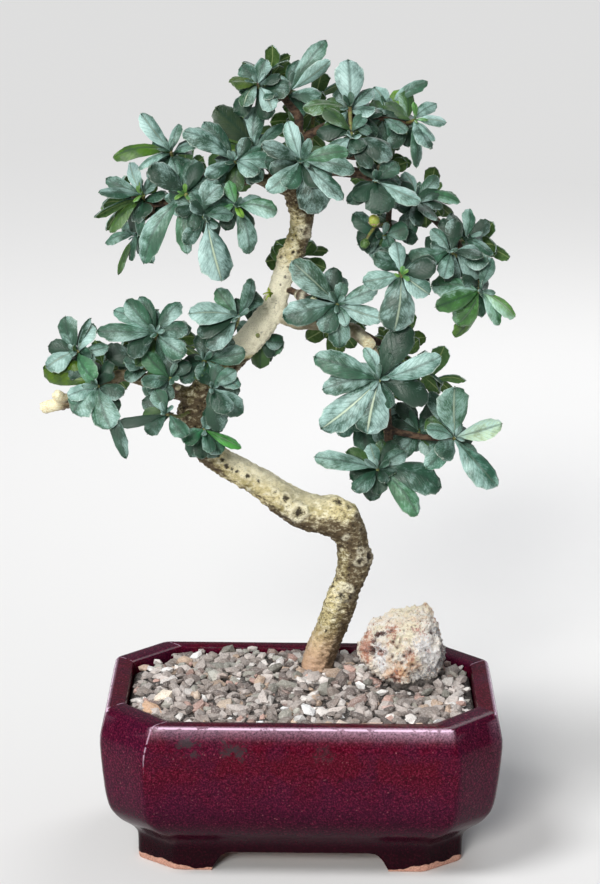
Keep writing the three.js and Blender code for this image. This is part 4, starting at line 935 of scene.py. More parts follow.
# Wider stretches of brown bark: where each is, how far it reaches and how brown it is.
BROWN_PATCHES = [
    ((-53, 14, 198), 9, 0.7), ((-62, 16, 218), 13, 0.9), ((-45, 14, 187), 5, 0.7), ((31, 18, 168), 6, 0.55),
    ((34, 18, 156), 7, 0.7), ((20, 18, 177), 5, 0.5), ((27, 14, 132), 6, 0.55), ((22, 10, 133), 5, 0.45),
    ((-20, 12, 179), 5, 0.45), ((-12, 12, 174), 5, 0.45), ((33, 16, 148), 6, 0.7),
]
# The bark by height above the table: how brown or, below 0, how pale it is, bleached and, from about 170
# to 200 mm up, also painted light, and how freckled, how rosy and how crusted it is.
BARK_TONES = [
    (0.078, 0.00, 0.15, 1.00, 0.00), (0.092, 0.00, 0.30, 0.70, 0.05), (0.100, 0.05, 0.50, 0.30, 0.20),
    (0.106, 0.15, 0.85, 0.05, 0.50), (0.116, 0.20, 1.00, 0.00, 0.80), (0.124, 0.15, 1.00, 0.00, 1.00),
    (0.129, 0.20, 0.90, 0.00, 0.80), (0.132, 0.65, 0.90, 0.05, 0.35), (0.138, 0.60, 0.85, 0.00, 0.35),
    (0.150, 0.66, 0.80, 0.00, 0.50), (0.162, 0.40, 0.45, 0.00, 0.30), (0.172, -0.20, 0.30, 0.00, 0.12),
    (0.195, -0.40, 0.30, 0.00, 0.10), (0.206, 0.35, 0.80, 0.00, 0.40), (0.215, 0.60, 0.90, 0.00, 0.60),
    (0.236, 0.60, 0.90, 0.00, 0.60), (0.247, -0.10, 0.40, 0.00, 0.15), (0.250, -0.70, 0.20, 0.00, 0.06),
    (0.290, -0.70, 0.25, 0.00, 0.06),
    (0.300, -0.10, 0.60, 0.00, 0.20), (0.318, 0.20, 0.85, 0.00, 0.30), (0.325, 0.60, 0.90, 0.00, 0.60),
    (0.331, 1.00, 0.90, 0.00, 1.00), (0.400, 1.00, 0.60, 0.00, 0.60),
]
# Sawn and broken ends: where each is and how far it shows bare wood.
CUT_ENDS = [
    ((-136.5, 22.5, 219), 5), ((-128.5, 16, 230.5), 9), ((-131, 20, 224), 8), ((34.5, 3, 257), 9),
    ((12.5, 10.5, 361.5), 4.5), ((38.5, 7, 349.5), 4.5), ((-75.5, 3.5, 319.5), 4.5),
    ((-63.5, 10, 235), 4.5),
]
# Where the middle of the pot stands in the frame of the whole object.
TREE_SHIFT = Vector((14.389, -11.083, 0)) * MM


def tree_place(place):
    """A point given from the middle of the pot, in millimetres, in the frame of the whole object."""
    return Vector(place) * MM + TREE_SHIFT


def bark_tone(height):
    """How brown, freckled, rosy and crusted the bark is at this height."""
    before = BARK_TONES[0]
    for tone in BARK_TONES:
        if height < tone[0]:
            share = (height - before[0]) / max(tone[0] - before[0], 1e-6)
            return [low + (high - low) * max(share, 0) for low, high in zip(before[1:], tone[1:])]
        before = tone
    return before[1:]


def bark_finish():
    """Cream bark over olive, with brown freckles, dark pores and crusted stretches, bare where sawn, and
    painted shade on its under and shaded sides.
    """
    material, tree = new_material("freckled_bark", Roughness=0.68, Specular_IOR_Level=0.35)
    place = add_node(tree, "TexCoord", {}).outputs["Object"]
    _, brown, freckle, rose, crust = painted(tree, "bark_tone")
    _, scar, cut, slim, ring = painted(tree, "bark_marks")
    squashed = add_node(tree, "Mapping", {"Vector": place, "Scale": (1, 1, 1.7)}).outputs["Vector"]
    broad = cloudy(tree, place, 12 * MM, 3, 0.55)
    lumps = cloudy(tree, squashed, 3.4 * MM, 4, 0.65)
    fine = cloudy(tree, squashed, 1.2 * MM, 4, 0.75)
    dust = cloudy(tree, place, 0.5 * MM, 3, 0.7)
    body = blended(tree, graded(tree, broad, 0.40, 0.60, 0.0, 0.85), BARK_CREAM, BARK_OLIVE)
    body = blended(tree, graded(tree, lumps, 0.50, 0.66, 0, 0.75), body, BARK_WHITE)
    # Below 0 the brown tone makes the bark pale: bleached bark and, from about 170 to 200 mm up, painted
    # light.
    body = blended(tree, graded(tree, brown, 0, -0.6, 0, 0.96), body, BARK_WHITE)
    body = blended(tree, rose, body, BARK_ROSE)
    body = blended(tree, graded(tree, dust, 0.46, 0.34, 0, 0.4), body, BARK_OLIVE)
    fleck = worked(tree, "MULTIPLY", graded(tree, fine, 0.47, 0.37), freckle)
    body = blended(tree, worked(tree, "MULTIPLY", fleck, 0.85), body, BARK_BROWN)
    # The brown tone also carries the painted shade of the underside and the shaded side.
    brown_share = worked(tree, "ADD", brown, graded(tree, lumps, 0.32, 0.68, 0.35, -0.45))
    brown_share = worked(tree, "ADD", brown_share, graded(tree, fine, 0.3, 0.7, 0.2, -0.2))
    body = blended(tree, graded(tree, brown_share, 0.2, 0.9, 0, 0.95), body, BARK_BROWN)
    pore_field = worked(tree, "MULTIPLY", freckle, graded(tree, lumps, 0.56, 0.42))
    pores = worked(tree, "MULTIPLY", graded(tree, speckled(tree, place, 2.1 * MM), 0.34, 0.20), pore_field)
    body = blended(tree, graded(tree, pores, 0.15, 0.7, 0, 0.95), body, BARK_PORE)
    crack = worked(tree, "MULTIPLY", graded(tree, lumps, 0.46, 0.36), crust)
    body = blended(tree, worked(tree, "MULTIPLY", crack, 0.85), body, BARK_PORE)
    twig = blended(tree, graded(tree, lumps, 0.42, 0.6), TWIG_DARK, TWIG_LIGHT)
    body = blended(tree, slim, body, twig)
    ring_share = worked(tree, "MULTIPLY", ring, graded(tree, fine, 0.34, 0.56, 0.2, 1))
    body = blended(tree, ring_share, body, BARK_WHITE)
    scar_share = worked(tree, "ADD", scar, graded(tree, fine, 0.3, 0.7, 0.3, -0.3))
    body = blended(tree, graded(tree, scar_share, 0.35, 0.75, 0, 0.95), body, BARK_PORE)
    body = blended(tree, cut, body, blended(tree, graded(tree, fine, 0.42, 0.6), CUT_WOOD, CUT_GRAIN))
    raised = worked(tree, "SUBTRACT", lumps, worked(tree, "MULTIPLY", pores, 0.5))
    raised = worked(tree, "ADD", raised, worked(tree, "MULTIPLY", fine, 0.45))
    feed(tree, Base_Color=body, Normal=relief(tree, raised, 0.9 * MM))
    return material


trunk = merged_copy("trunk", "bonsai_wood", bark_finish())
remeshed(trunk, BARK_VOXEL)
trunk_mesh = bmesh.new()
trunk_mesh.from_mesh(trunk.data)
smoothed(trunk_mesh, BARK_SMOOTHING)
skin = BVHTree.FromBMesh(trunk_mesh)
tone_layer = trunk_mesh.verts.layers.float_color.new("bark_tone")
mark_layer = trunk_mesh.verts.layers.float_color.new("bark_marks")
knots = [
    (skin.find_nearest(tree_place(place))[0], width * MM, height * MM, dark, pale)
    for place, width, height, dark, pale in KNOTS
]
knot_tree = kdtree.KDTree(len(knots))
for i, knot in enumerate(knots):
    knot_tree.insert(knot[0], i)
knot_tree.balance()
widest_knot = max(knot[1] for knot in knots)
brown_patches = [(tree_place(place), reach * MM, share) for place, reach, share in BROWN_PATCHES]
cut_ends = [(tree_place(place), reach * MM) for place, reach in CUT_ENDS]
for corner in trunk_mesh.verts:
    far_side = skin.ray_cast(corner.co - corner.normal * 0.2 * MM, -corner.normal)[3] or 0
    stout = min(max((far_side - 5 * MM) / (4 * MM), 0), 1)
    rise = 0
    scar = 0
    ring = 0
    for _, i, distance in knot_tree.find_range(corner.co, KNOT_REACH * widest_knot):
        _, width, height, dark, pale = knots[i]
        wobble = 1 + 0.45 * noise.noise(corner.co / (3.0 * MM))
        near = distance / width * wobble + 0.2 * noise.noise(corner.co / (1.1 * MM))
        brim = math.exp(-(((near - 0.85) / 0.4) ** 2))
        rise += height * (brim if dark and height > 0 else math.exp(-near * near))
        eye = dark * math.exp(-((near / 0.62) ** 2))
        furrow = 0.45 * dark * math.exp(-(((near - 1.35) / 0.2) ** 2))
        scar = max(scar, eye, furrow)
        ring = max(ring, pale * brim)
    cut = max(1 - max(0, (corner.co - end).length / reach - 0.6) / 0.5 for end, reach in cut_ends)
    brown, freckle, rose, crust = bark_tone(corner.co.z)
    for middle, reach, share in brown_patches:
        brown += max(0, share - brown) * math.exp(-(((corner.co - middle).length / reach) ** 2))
    # Painted shade: the bark is made browner and more crusted on its underside and on the side turned from
    # the light, less so where it is pale.
    underside = min(max(-corner.normal.z * 1.5 - 0.05, 0), 1)
    shade_side = min(max((corner.normal.dot(BARK_SHADE_SIDE) - 0.05) / 0.6, 0), 1)
    crust = min(1, crust + 0.5 * underside)
    darker = (0.75 * underside + 0.75 * shade_side) * (1 + 1.5 * min(brown, 0))
    brown = min(1, (brown + darker) * stout)
    grain = noise.fractal(corner.co / (9 * MM), 1.0, 2.1, 4)
    wrinkle = noise.fractal(Vector((corner.co.x, corner.co.y, corner.co.z * 1.6)) / (3.2 * MM), 0.9, 2.0, 4)
    scurf = noise.fractal(corner.co / (1.9 * MM), 0.8, 2.0, 3)
    corner[mark_layer] = (scar, min(max(cut, 0), 1), 1 - stout, ring)
    corner[tone_layer] = (brown, freckle * (0.35 + 0.65 * stout), rose * stout, crust * stout)
    coarse = 0.5 * grain + 0.28 * wrinkle + crust * (0.55 * wrinkle + 0.45 * scurf)
    lift = BARK_SWELL + coarse * stout * MM
    corner.co += corner.normal * (lift + 0.1 * wrinkle * MM + rise)
trunk_mesh.to_mesh(trunk.data)
trunk_mesh.free()
shade_smooth(trunk)
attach(trunk, "root")
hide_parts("trunk")

# Leafy shoots. Slim green shoots, each ending in a rosette of leathery spoon-shaped leaves with a few
# rounded teeth at the tip. Tops are dark blue-green with a pale bloom and painted sheen, and undersides
# olive, and the youngest leaves in a rosette's heart are small, and bright green in some.
# Each row is a rosette: the shoot it is part of, where its stem starts and ends, which way it faces,
# how many more leaves it has behind, and its front leaves, from root to tip with their width and, for
# some, how far they are rolled. They are measured from the middle of the pot, in millimetres.
SHOOTS = [
    ("crown_left_1", (-58, 12, 331), (-59, -16, 337), (-2, -8, 6), 0, [
        (-17, -7, 15, 12), (6, 7, 16, 9), (-22, -11, -31, 12), (0, -14, -26, 9), (12, 4, 9, 10)]),
    ("crown_left_1", (-59, -16, 337), (-48, -20, 324), (1, -8, 5), 1, [
        (8, -9, -28, 17), (-10, -11, -11, 8), (-7, -5, 8, 7)]),
    ("crown_left_2", (-42, 15, 337), (-34, -10, 330), (2, -8, 5), 0, [
        (7, -7, -22, 10), (20, -9, -1, 10), (-4, 0, 12, 7), (-11, -7, -2, 6), (4, -11, -6, 4)]),
    ("crown_left_3", (-82, 16, 328), (-81, 6, 333), (-6, -5, 6), 0, [
        (-22, -4, 2, 9), (-19, 5, 8, 8), (-8, 7, 16, 8), (-16, -7, -17, 9), (-24, -4, -10, 8, 70),
        (-2, -11, -17, 8)]),
    ("crown_left_4", (-66, 12, 350), (-67, -2, 356), (-3, -5, 8), 0, [
        (-15, 0, 19, 9), (-28, -5, 1, 11), (-16, -11, -5, 7), (3, 7, 14, 7), (14, -4, 6, 9)]),
    ("crown_left_5", (-30, 16, 351), (-36, -6, 352), (0, -7, 7), 1, [
        (-24, -5, 16, 11), (-15, 5, 19, 10), (-14, -11, -7, 9), (11, -11, -5, 9)]),
    ("crown_left_6", (-28, 17, 350), (-26, 14, 356), (0, -5, 8), 1, [
        (-19, 0, 21, 17), (1, 4, 22, 11), (15, 5, 14, 8), (-7, -16, -13, 8)]),
    ("crown_left_7", (-78, 15, 327), (-86, 22, 309), (-6, -5, 3), 2, [
        (-9, -5, -19, 6), (-16, 0, -4, 7), (-4, 5, 13, 7), (7, -5, -15, 7)]),
    ("crown_top_1", (-22, 24, 383), (-25, 12, 388), (-2, -5, 8), 0, [
        (-14, -4, 1, 12), (-7, -11, -8, 9), (-8, 4, 10, 9), (4, 5, 12, 8), (11, 0, 5, 8),
        (7, -9, -11, 9)]),
    ("crown_top_2", (-11, 25, 379), (-8, 34, 383), (2, -5, 8), 1, [
        (17, 5, 25, 10), (20, -2, 15, 8, 75), (4, 11, 14, 8), (-11, -11, -12, 8)]),
    ("crown_top_3", (21, 21, 369), (21, 8, 377), (0, -6, 8), 1, [
        (-1, 5, 24, 15), (-23, -5, 2, 11), (-12, -9, -9, 8), (11, 7, 11, 8)]),
    ("crown_top_3", (21, 8, 377), (22, -8, 363), (0, -7, 7), 0, [
        (20, -5, -7, 13), (-11, -7, -9, 9), (10, -9, -14, 8)]),
    ("crown_top_4", (38, 24, 370), (40, 32, 374), (1, -6, 7), 1, [
        (-6, 5, 11, 11), (21, 7, 13, 7), (-8, -9, -8, 9), (9, 7, 10, 8)]),
    ("crown_top_5", (50, 27, 368), (54, 20, 370), (5, -6, 6), 0, [
        (16, 0, 0, 8), (11, -7, -8, 7), (8, -14, -13, 10), (4, -11, -21, 8), (13, 7, 8, 7)]),
    ("crown_front", (-4, 2, 349), (-3, -20, 355), (0, -9, 4), 0, [
        (-18, -7, 9, 9), (-6, 2, 19, 8), (4, -7, 11, 5), (23, -4, 6, 9), (26, -7, -3, 9),
        (-16, -9, -14, 10), (9, -5, -25, 17), (21, -11, -17, 9)]),
    ("crown_right_1", (35, 17, 339), (34, -14, 344), (1, -8, 6), 1, [
        (2, -9, -15, 15), (22, -5, -9, 10), (-11, -9, -8, 9), (11, 4, 8, 9)]),
    ("crown_right_2", (54, 16, 328), (55, 24, 331), (4, -6, 7), 1, [
        (22, -4, 0, 7), (11, 5, 10, 8), (9, -9, -12, 8), (-5, 7, 13, 8)]),
    ("crown_right_3", (76, 18, 309), (82, 30, 309), (6, -5, 6), 1, [
        (11, 4, 8, 8), (0, -9, -10, 8), (14, -4, -7, 9), (2, 7, 14, 8)]),
    ("crown_right_7", (79, 18, 302), (71, 2, 307), (3, -8, 5), 1, [
        (-22, -7, -4, 12), (-10, 0, 11, 8), (-4, -9, -12, 9)]),
    ("crown_right_4", (46, 2, 303), (47, -20, 298), (2, -8, 4), 0, [
        (-3, -5, -27, 18), (-19, -5, -3, 10), (17, -4, 5, 11), (14, -7, -9, 11), (-2, 4, 15, 9)]),
    ("crown_right_5", (87, 18, 289), (87, 4, 286), (6, -6, 5), 0, [
        (-24, -5, 4, 15), (-11, -7, -16, 13), (-25, -13, -8, 10), (19, -4, -11, 9), (11, -9, -15, 9),
        (7, 4, 15, 9), (-11, -2, -25, 9)]),
    ("crown_right_6", (42, 7, 315), (38, 2, 314), (0, -8, 5), 1, [
        (-13, -5, -4, 13), (-16, -2, 11, 10), (11, -2, 4, 10), (3, -11, -8, 8)]),
    ("middle_right", (13, 8, 279), (16, -10, 282), (0, -9, 4), 0, [
        (-22, -4, 22, 14), (-27, -5, -6, 14), (3, -2, 11, 7), (20, -4, 9, 9), (23, -5, -7, 10),
        (-6, -9, -13, 11), (5, -9, -9, 6), (2, -7, -21, 11)]),
    ("middle_left", (-35, 8, 267), (-33, -8, 275), (-3, -8, 5), 0, [
        (-25, -5, 2, 13), (7, 0, 19, 9, 60), (-11, 2, 14, 9), (-20, -7, -8, 11), (-15, -9, -14, 10)]),
    ("middle_back", (-24, 18, 260), (-23, 37, 254), (2, -7, 3), 0, [
        (12, -2, -4, 12), (5, 2, -12, 9), (-3, 6, 13, 9)]),
    ("lower_right_1", (38, 9, 243), (37, -22, 246), (0, -9, 4), 0, [
        (-32, -5, 13, 13), (-28, -7, -3, 11), (-29, -5, -24, 16), (-6, -7, -26, 19), (24, -5, -9, 14),
        (30, -4, 13, 11), (14, 0, 27, 15), (-7, -2, 16, 7), (5, -5, 14, 6)]),
    ("lower_right_2", (39, 6, 197), (37, -12, 198), (0, -7, 7), 0, [
        (-32, -4, 7, 10), (-12, -11, -9, 10), (14, 4, 8, 10), (32, -5, -7, 16), (20, -11, -21, 11),
        (3, -13, -5, 6), (-4, 7, 11, 8)]),
    ("lower_right_3", (73, 12, 208), (76, -4, 213), (3, -7, 6), 0, [
        (-1, 2, 26, 18), (-13, 9, 21, 12), (24, -3, 8, 12), (21, -7, -24, 15), (-14, -7, 6, 10),
        (-14, -11, -13, 10)]),
    ("lower_right_4", (58, 10, 210), (59, 26, 213), (1, -7, 6), 1, [
        (-14, -9, -8, 12), (-12, -2, 8, 11), (6, -11, -13, 10), (10, 5, 12, 9)]),
    ("lower_right_5", (42, 8, 214), (29, 24, 219), (-1, -6, 5), 1, [
        (-12, -9, -10, 10), (2, -11, -17, 12), (-11, 0, 4, 10), (12, 0, 4, 9)]),
    ("lower_left_1", (-75, 12, 257), (-74, -8, 266), (-3, -8, 5), 0, [
        (-15, 0, 17, 10), (-29, -5, 3, 10), (-21, 0, 12, 9), (-9, 5, 18, 8), (11, 4, 16, 10),
        (16, -4, 4, 10), (15, -9, -9, 11), (-13, -11, -9, 10), (-5, -13, -1, 5)]),
    ("lower_left_2", (-113, 12, 249), (-114, -2, 255), (-6, -7, 4), 2, [
        (-15, -5, -8, 12), (13, -9, -13, 12), (-6, 2, 18, 11), (7, 0, 14, 10), (-15, 0, 3, 9)]),
    ("lower_left_3", (-103, 20, 233), (-103, -14, 240), (-3, -8, 5), 0, [
        (-12, -5, -13, 16), (7, -9, -20, 14), (-16, -2, -1, 10), (15, -9, -35, 7), (-29, 12, 7, 15)]),
    ("lower_left_4", (-78, 20, 242), (-83, 14, 244), (-2, -7, 6), 1, [
        (-18, 0, 11, 11), (-11, -7, 2, 9), (4, 5, 10, 8)]),
    ("lower_left_5", (-72, 22, 232), (-67, -8, 243), (-1, -8, 6), 0, [
        (-13, 0, 14, 10), (-13, -9, 1, 9), (0, 5, 15, 8), (10, 0, 9, 8)]),
    ("lower_left_6", (-44, 15, 248), (-51, 2, 250), (2, -8, 5), 0, [
        (-2, 4, 13, 9), (21, -5, 5, 10), (17, -9, -12, 10), (-13, -9, -9, 9)]),
    ("lower_left_7", (-49, 22, 236), (-46, -12, 239), (1, -8, 4), 0, [
        (9, -10, -10, 11), (16, 1, -13, 12), (4, -3, -22, 11), (12, 3, 8, 8)]),
    ("lower_left_8", (-57, 23, 220), (-69, -14, 226), (-2, -8, 5), 0, [
        (-6, 2, 12, 9), (-26, -5, -5, 6), (-10, -9, -9, 9), (9, -9, -10, 9)]),
    ("lower_left_9", (-56, 24, 210), (-50, -4, 216), (2, -7, 5), 0, [
        (-10, -7, -5, 9), (19, -5, -7, 6), (4, -11, -10, 7), (11, 0, 3, 7)]),
    ("crown_back_1", (-58, 58, 330), (-62, 58, 336), (-3, 8, 6), 5, []),
    ("crown_back_1", (-62, 58, 336), (-44, 76, 326), (-2, 9, 3), 5, []),
    ("crown_back_2", (-30, 52, 342), (-32, 72, 352), (-1, 8, 6), 5, []),
    ("crown_back_3", (2, 65, 352), (4, 70, 374), (0, 7, 8), 5, []),
    ("crown_back_3", (4, 70, 374), (-4, 84, 350), (0, 9, 4), 5, []),
    ("crown_back_4", (28, 58, 345), (36, 62, 362), (2, 8, 6), 5, []),
    ("crown_back_5", (56, 56, 322), (64, 58, 326), (5, 8, 4), 5, []),
    ("crown_back_6", (39, 57, 336), (40, 74, 338), (1, 9, 4), 5, []),
    ("crown_back_7", (-19, 24, 382), (-20, 54, 388), (-1, 6, 8), 5, []),
    ("crown_back_8", (-86, 18, 330), (-92, 42, 322), (-7, 6, 4), 5, []),
    ("crown_back_9", (81, 18, 299), (88, 48, 302), (7, 6, 4), 5, []),
    ("lower_back_1", (-86, 46, 252), (-88, 50, 257), (-4, 8, 4), 5, []),
    ("lower_back_1", (-88, 50, 257), (-62, 52, 246), (1, 9, 4), 5, []),
    ("lower_back_2", (-100, 20, 235), (-104, 44, 238), (-6, 7, 3), 5, []),
    ("lower_back_3", (-4, 56, 290), (-2, 64, 293), (0, 9, 4), 5, []),
    ("lower_back_4", (47, 50, 245), (48, 58, 249), (2, 8, 5), 5, []),
    ("lower_back_5", (61, 52, 233), (68, 54, 229), (5, 7, 4), 5, []),
    ("lower_back_6", (22, 32, 261), (12, 48, 262), (0, 8, 3), 5, []),
]
ROSETTE_SEED = 100
ROSETTE_SIDE = Vector((1, 0.2, 0.1))
FURTHER_LENGTH = (14, 21)
FURTHER_WIDTH = (0.425, 0.575)
FURTHER_ROLL = (-0.4, 0.4)
LEAN_BEHIND = (1.7, 2.2)
LEAN_ALONE = (0.75, 1.5)
GOLDEN_ANGLE = math.pi * (3 - math.sqrt(5))
# The ways in which a leaf may have been turned, lifted and shortened to clear what is round it.
WAYS_CLEAR = [
    (0, 0, 1), (0, 0.25, 1), (0.3, 0.1, 1), (-0.3, 0.1, 1), (0, -0.25, 1), (0.2, 0.5, 0.9),
    (-0.2, 0.5, 0.9), (0.6, 0.3, 0.85), (-0.6, 0.3, 0.85), (0, 0.9, 0.8), (0, 0.2, 0.6),
]
TIP_TOLERANCE = 0.06 * MM
FRONT_LEAF_GRID = (4, 10)
BACK_LEAF_GRID = (4, 6)
LEAF_THICKNESS = 0.4 * MM
UNDERSIDE_SLOT = 1
STEM_SLOT = 2
LEAF_ARCH = 0.09
LEAF_DROOP = 0.28
LEAF_BULGE = 0.11
TEETH_FROM = 0.72
TOOTH_DEPTH = 0.09
STEM_FOOT_RADIUS = 1.15 * MM
STEM_TIP_RADIUS = 0.85 * MM
STEM_SAG = 0.06
STEM_SIDES = 7
STEM_STEPS = 5
LEAF_SEED = 77
FILLER_LEAVES = 10
FILLER_LEAN = (1.15, 2.3)
FILLER_LENGTH = (11, 19)
FILLER_WIDTH = (0.5, 0.66)
FILLER_DEPTH = (3, 11)
HEART_LEAVES = 4
HEART_LEAN = (0.3, 1.1)
HEART_LENGTH = (4, 9)
HEART_WIDTH = (0.35, 0.5)
BRIGHT_HEARTS = 0.14
# Tones of leaves: the green, how common it is, how clear its pale rib is, and how much bloom and painted
# sheen it has.
# The leaves that the imported shoot has take the first of these lists. The fillers stand behind them
# in darker greens, as painted shade, and the small ones in the heart are bright in some rosettes and quiet
# in the others.
LEAF_TONES = [
    ((0.026, 0.088, 0.052), 26, 0.20, (0.05, 0.40)), ((0.040, 0.125, 0.072), 26, 0.25, (0.15, 0.55)),
    ((0.065, 0.180, 0.115), 16, 0.35, (0.35, 0.80)), ((0.085, 0.225, 0.160), 9, 0.45, (0.50, 0.92)),
    ((0.016, 0.050, 0.028), 16, 0.15, (-0.2, 0.20)), ((0.060, 0.135, 0.024), 3, 0.40, (-0.2, 0.20)),
    ((0.060, 0.190, 0.085), 6, 0.25, (0.00, 0.35)),
]
# Darker greens for the fillers: painted shade inside the rosettes.
FILLER_TONES = [
    ((0.018, 0.055, 0.030), 5, 0.15, (-0.2, 0.20)), ((0.045, 0.115, 0.022), 1, 0.3, (-0.4, 0.1)),
    ((0.032, 0.105, 0.060), 4, 0.2, (0.0, 0.45)),
]
HEART_TONES = [((0.200, 0.430, 0.070), 1, 0.3, (-0.3, 0.1)), ((0.120, 0.320, 0.070), 1, 0.3, (-0.2, 0.2))]
QUIET_HEART_TONES = [((0.036, 0.105, 0.060), 2, 0.3, (0, 0.4)), ((0.050, 0.130, 0.085), 2, 0.3, (0.2, 0.6))]
# Leaves that the photograph shows in a tone of their own: the rosette's row, the leaf in that row, its
# green, its rib and its bloom and painted sheen.
OWN_TONES = {
    (1, 0): ((0.050, 0.120, 0.095), 1.0, 0.65), (2, 2): ((0.120, 0.400, 0.110), 0.3, 0.20),
    (2, 3): ((0.110, 0.370, 0.110), 0.2, 0.15), (2, 4): ((0.240, 0.480, 0.050), 0.2, -0.3),
    (4, 1): ((0.060, 0.150, 0.008), 0.1, -0.60), (4, 0): ((0.060, 0.170, 0.120), 0.5, 0.70),
    (6, 0): ((0.040, 0.066, 0.032), 0.2, -0.35), (8, 0): ((0.075, 0.130, 0.015), 0.5, -0.30),
    (8, 1): ((0.050, 0.130, 0.055), 0.7, 0.30), (10, 0): ((0.070, 0.130, 0.105), 0.1, 0.80),
    (12, 3): ((0.120, 0.260, 0.020), 0.2, -0.50), (20, 0): ((0.080, 0.260, 0.110), 0.4, 0.45),
    (20, 1): ((0.070, 0.220, 0.040), 0.4, 0.05), (20, 2): ((0.055, 0.180, 0.040), 0.3, 0.00),
    (20, 3): ((0.150, 0.340, 0.080), 0.6, 0.15), (20, 4): ((0.060, 0.200, 0.070), 0.3, 0.15),
    (20, 6): ((0.090, 0.200, 0.025), 0.3, -0.10), (19, 0): ((0.050, 0.105, 0.075), 0.6, 0.30),
    (22, 0): ((0.040, 0.100, 0.055), 0.5, 0.35), (25, 2): ((0.050, 0.135, 0.095), 1.0, 0.60),
    (25, 3): ((0.045, 0.120, 0.080), 1.0, 0.45), (25, 5): ((0.050, 0.160, 0.110), 0.3, 0.50),
    (27, 0): ((0.055, 0.180, 0.090), 0.6, 0.45), (27, 2): ((0.400, 0.520, 0.250), 0.3, 0.60),
    (27, 3): ((0.040, 0.150, 0.095), 0.4, 0.30), (27, 4): ((0.090, 0.290, 0.170), 0.3, 0.55),
    (27, 5): ((0.050, 0.200, 0.120), 0.3, 0.40), (31, 3): ((0.090, 0.200, 0.150), 0.6, 0.70),
    (32, 0): ((0.045, 0.160, 0.085), 0.2, 0.40), (32, 1): ((0.045, 0.160, 0.085), 0.2, 0.45),
    (32, 4): ((0.070, 0.135, 0.006), 0.1, -0.60), (38, 1): ((0.070, 0.330, 0.050), 0.5, -0.10),
    (38, 0): ((0.025, 0.150, 0.060), 0.3, 0.10),
}
# Where the bark shows between the leaves: how far across and up, and how wide, in millimetres. No
# leaf standing behind a rosette's own hides it.
BARK_VIEWS = [
    ((-33, 245), 8), ((-28, 254), 9), ((-22, 264), 9), ((-15, 274), 9), ((-10, 284), 9), ((-58, 213), 8),
    ((-57, 221), 9), ((-55, 229), 8), ((-129, 241), 9),
]
BARK_DEPTH = 17
# The photograph looks down by this much for each millimetre of depth.
SIGHT_SLOPE = 0.24
# How much more bloom and painted sheen the leaves of some shoots have than the others: painted light, paler
# at the top and front of the crown, darker on its right and on the lower shoots.
SHOOT_BLOOM_AND_SHEEN = {
    "crown_top": 0.12, "crown_front": 0.18, "crown_right": -0.10, "middle_right": 0.04, "lower_left": -0.13,
    "lower_right": -0.05,
}
LEAF_SHADE = (0.014, 0.040, 0.024, 1)
LEAF_VEIN = (0.020, 0.055, 0.036, 1)
LEAF_FOLD_SHADE = (0.016, 0.045, 0.028, 1)
LEAF_UNDERSIDE = (0.072, 0.150, 0.018, 1)
UNDERSIDE_PALE = (0.190, 0.290, 0.100, 1)
UNDERSIDE_RIB = (0.330, 0.420, 0.170, 1)
# Pale bloom, part real bloom and part painted sheen.
LEAF_BLOOM_AND_SHEEN = (0.450, 0.660, 0.620, 1)
RIB_PALE = (0.46, 0.56, 0.40, 1)
EDGE_PALE = (0.64, 0.74, 0.64, 1)
STEM_GREEN = (0.200, 0.250, 0.060, 1)
STEM_BROWN = (0.130, 0.062, 0.036, 1)


class SeededDraw:
    """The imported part's own random draws, so that each further leaf falls where its solid did."""

    def __init__(self, seed):
        self.state = seed

    def between(self, low, high):
        self.state = self.state * 16807 % 2147483647
        return low + (high - low) * self.state / 2147483647


def turned(direction, axis, angle):
    """A direction turned about an axis."""
    return Matrix.Rotation(angle, 3, axis) @ direction


def round_ring(point, direction, radius):
    """Points round a stem, square to it."""
    side = direction.cross(Vector((0.31, 0.95, 0.12))).normalized()
    over = direction.cross(side).normalized()
    angles = [2 * math.pi * i / STEM_SIDES for i in range(STEM_SIDES)]
    return [point + (side * math.cos(angle) + over * math.sin(angle)) * radius for angle in angles]


def add_stem(mesh, points, foot_radius, tip_radius, steps=STEM_STEPS):
    """A slim round stem through these points, slightly thinner towards its tip."""
    path = smooth_path(points, steps)
    levels = []
    for i, point in enumerate(path):
        direction = (path[min(i + 1, len(path) - 1)] - path[max(i - 1, 0)]).normalized()
        share = i / (len(path) - 1)
        levels.append((point, direction, foot_radius + (tip_radius - foot_radius) * share))
    raised_outline(mesh, levels, round_ring)


def leaf_half_width(along):
    """Half of a leaf's width at a share of its length, in leaf widths: widest past the middle."""
    taper = min(1, along / 0.35) ** 0.5
    return 0.5 * math.sin(math.pi * along ** 1.7) ** 0.52 * taper if 0 < along < 1 else 0.0


def new_leaf_mesh():
    """An empty mesh with the layers that the finishes of leaves read."""
    mesh = bmesh.new()
    mesh.loops.layers.uv.new("leaf_uv")
    mesh.verts.layers.float_color.new("leaf_tone")
    mesh.verts.layers.float_color.new("leaf_look")
    return mesh


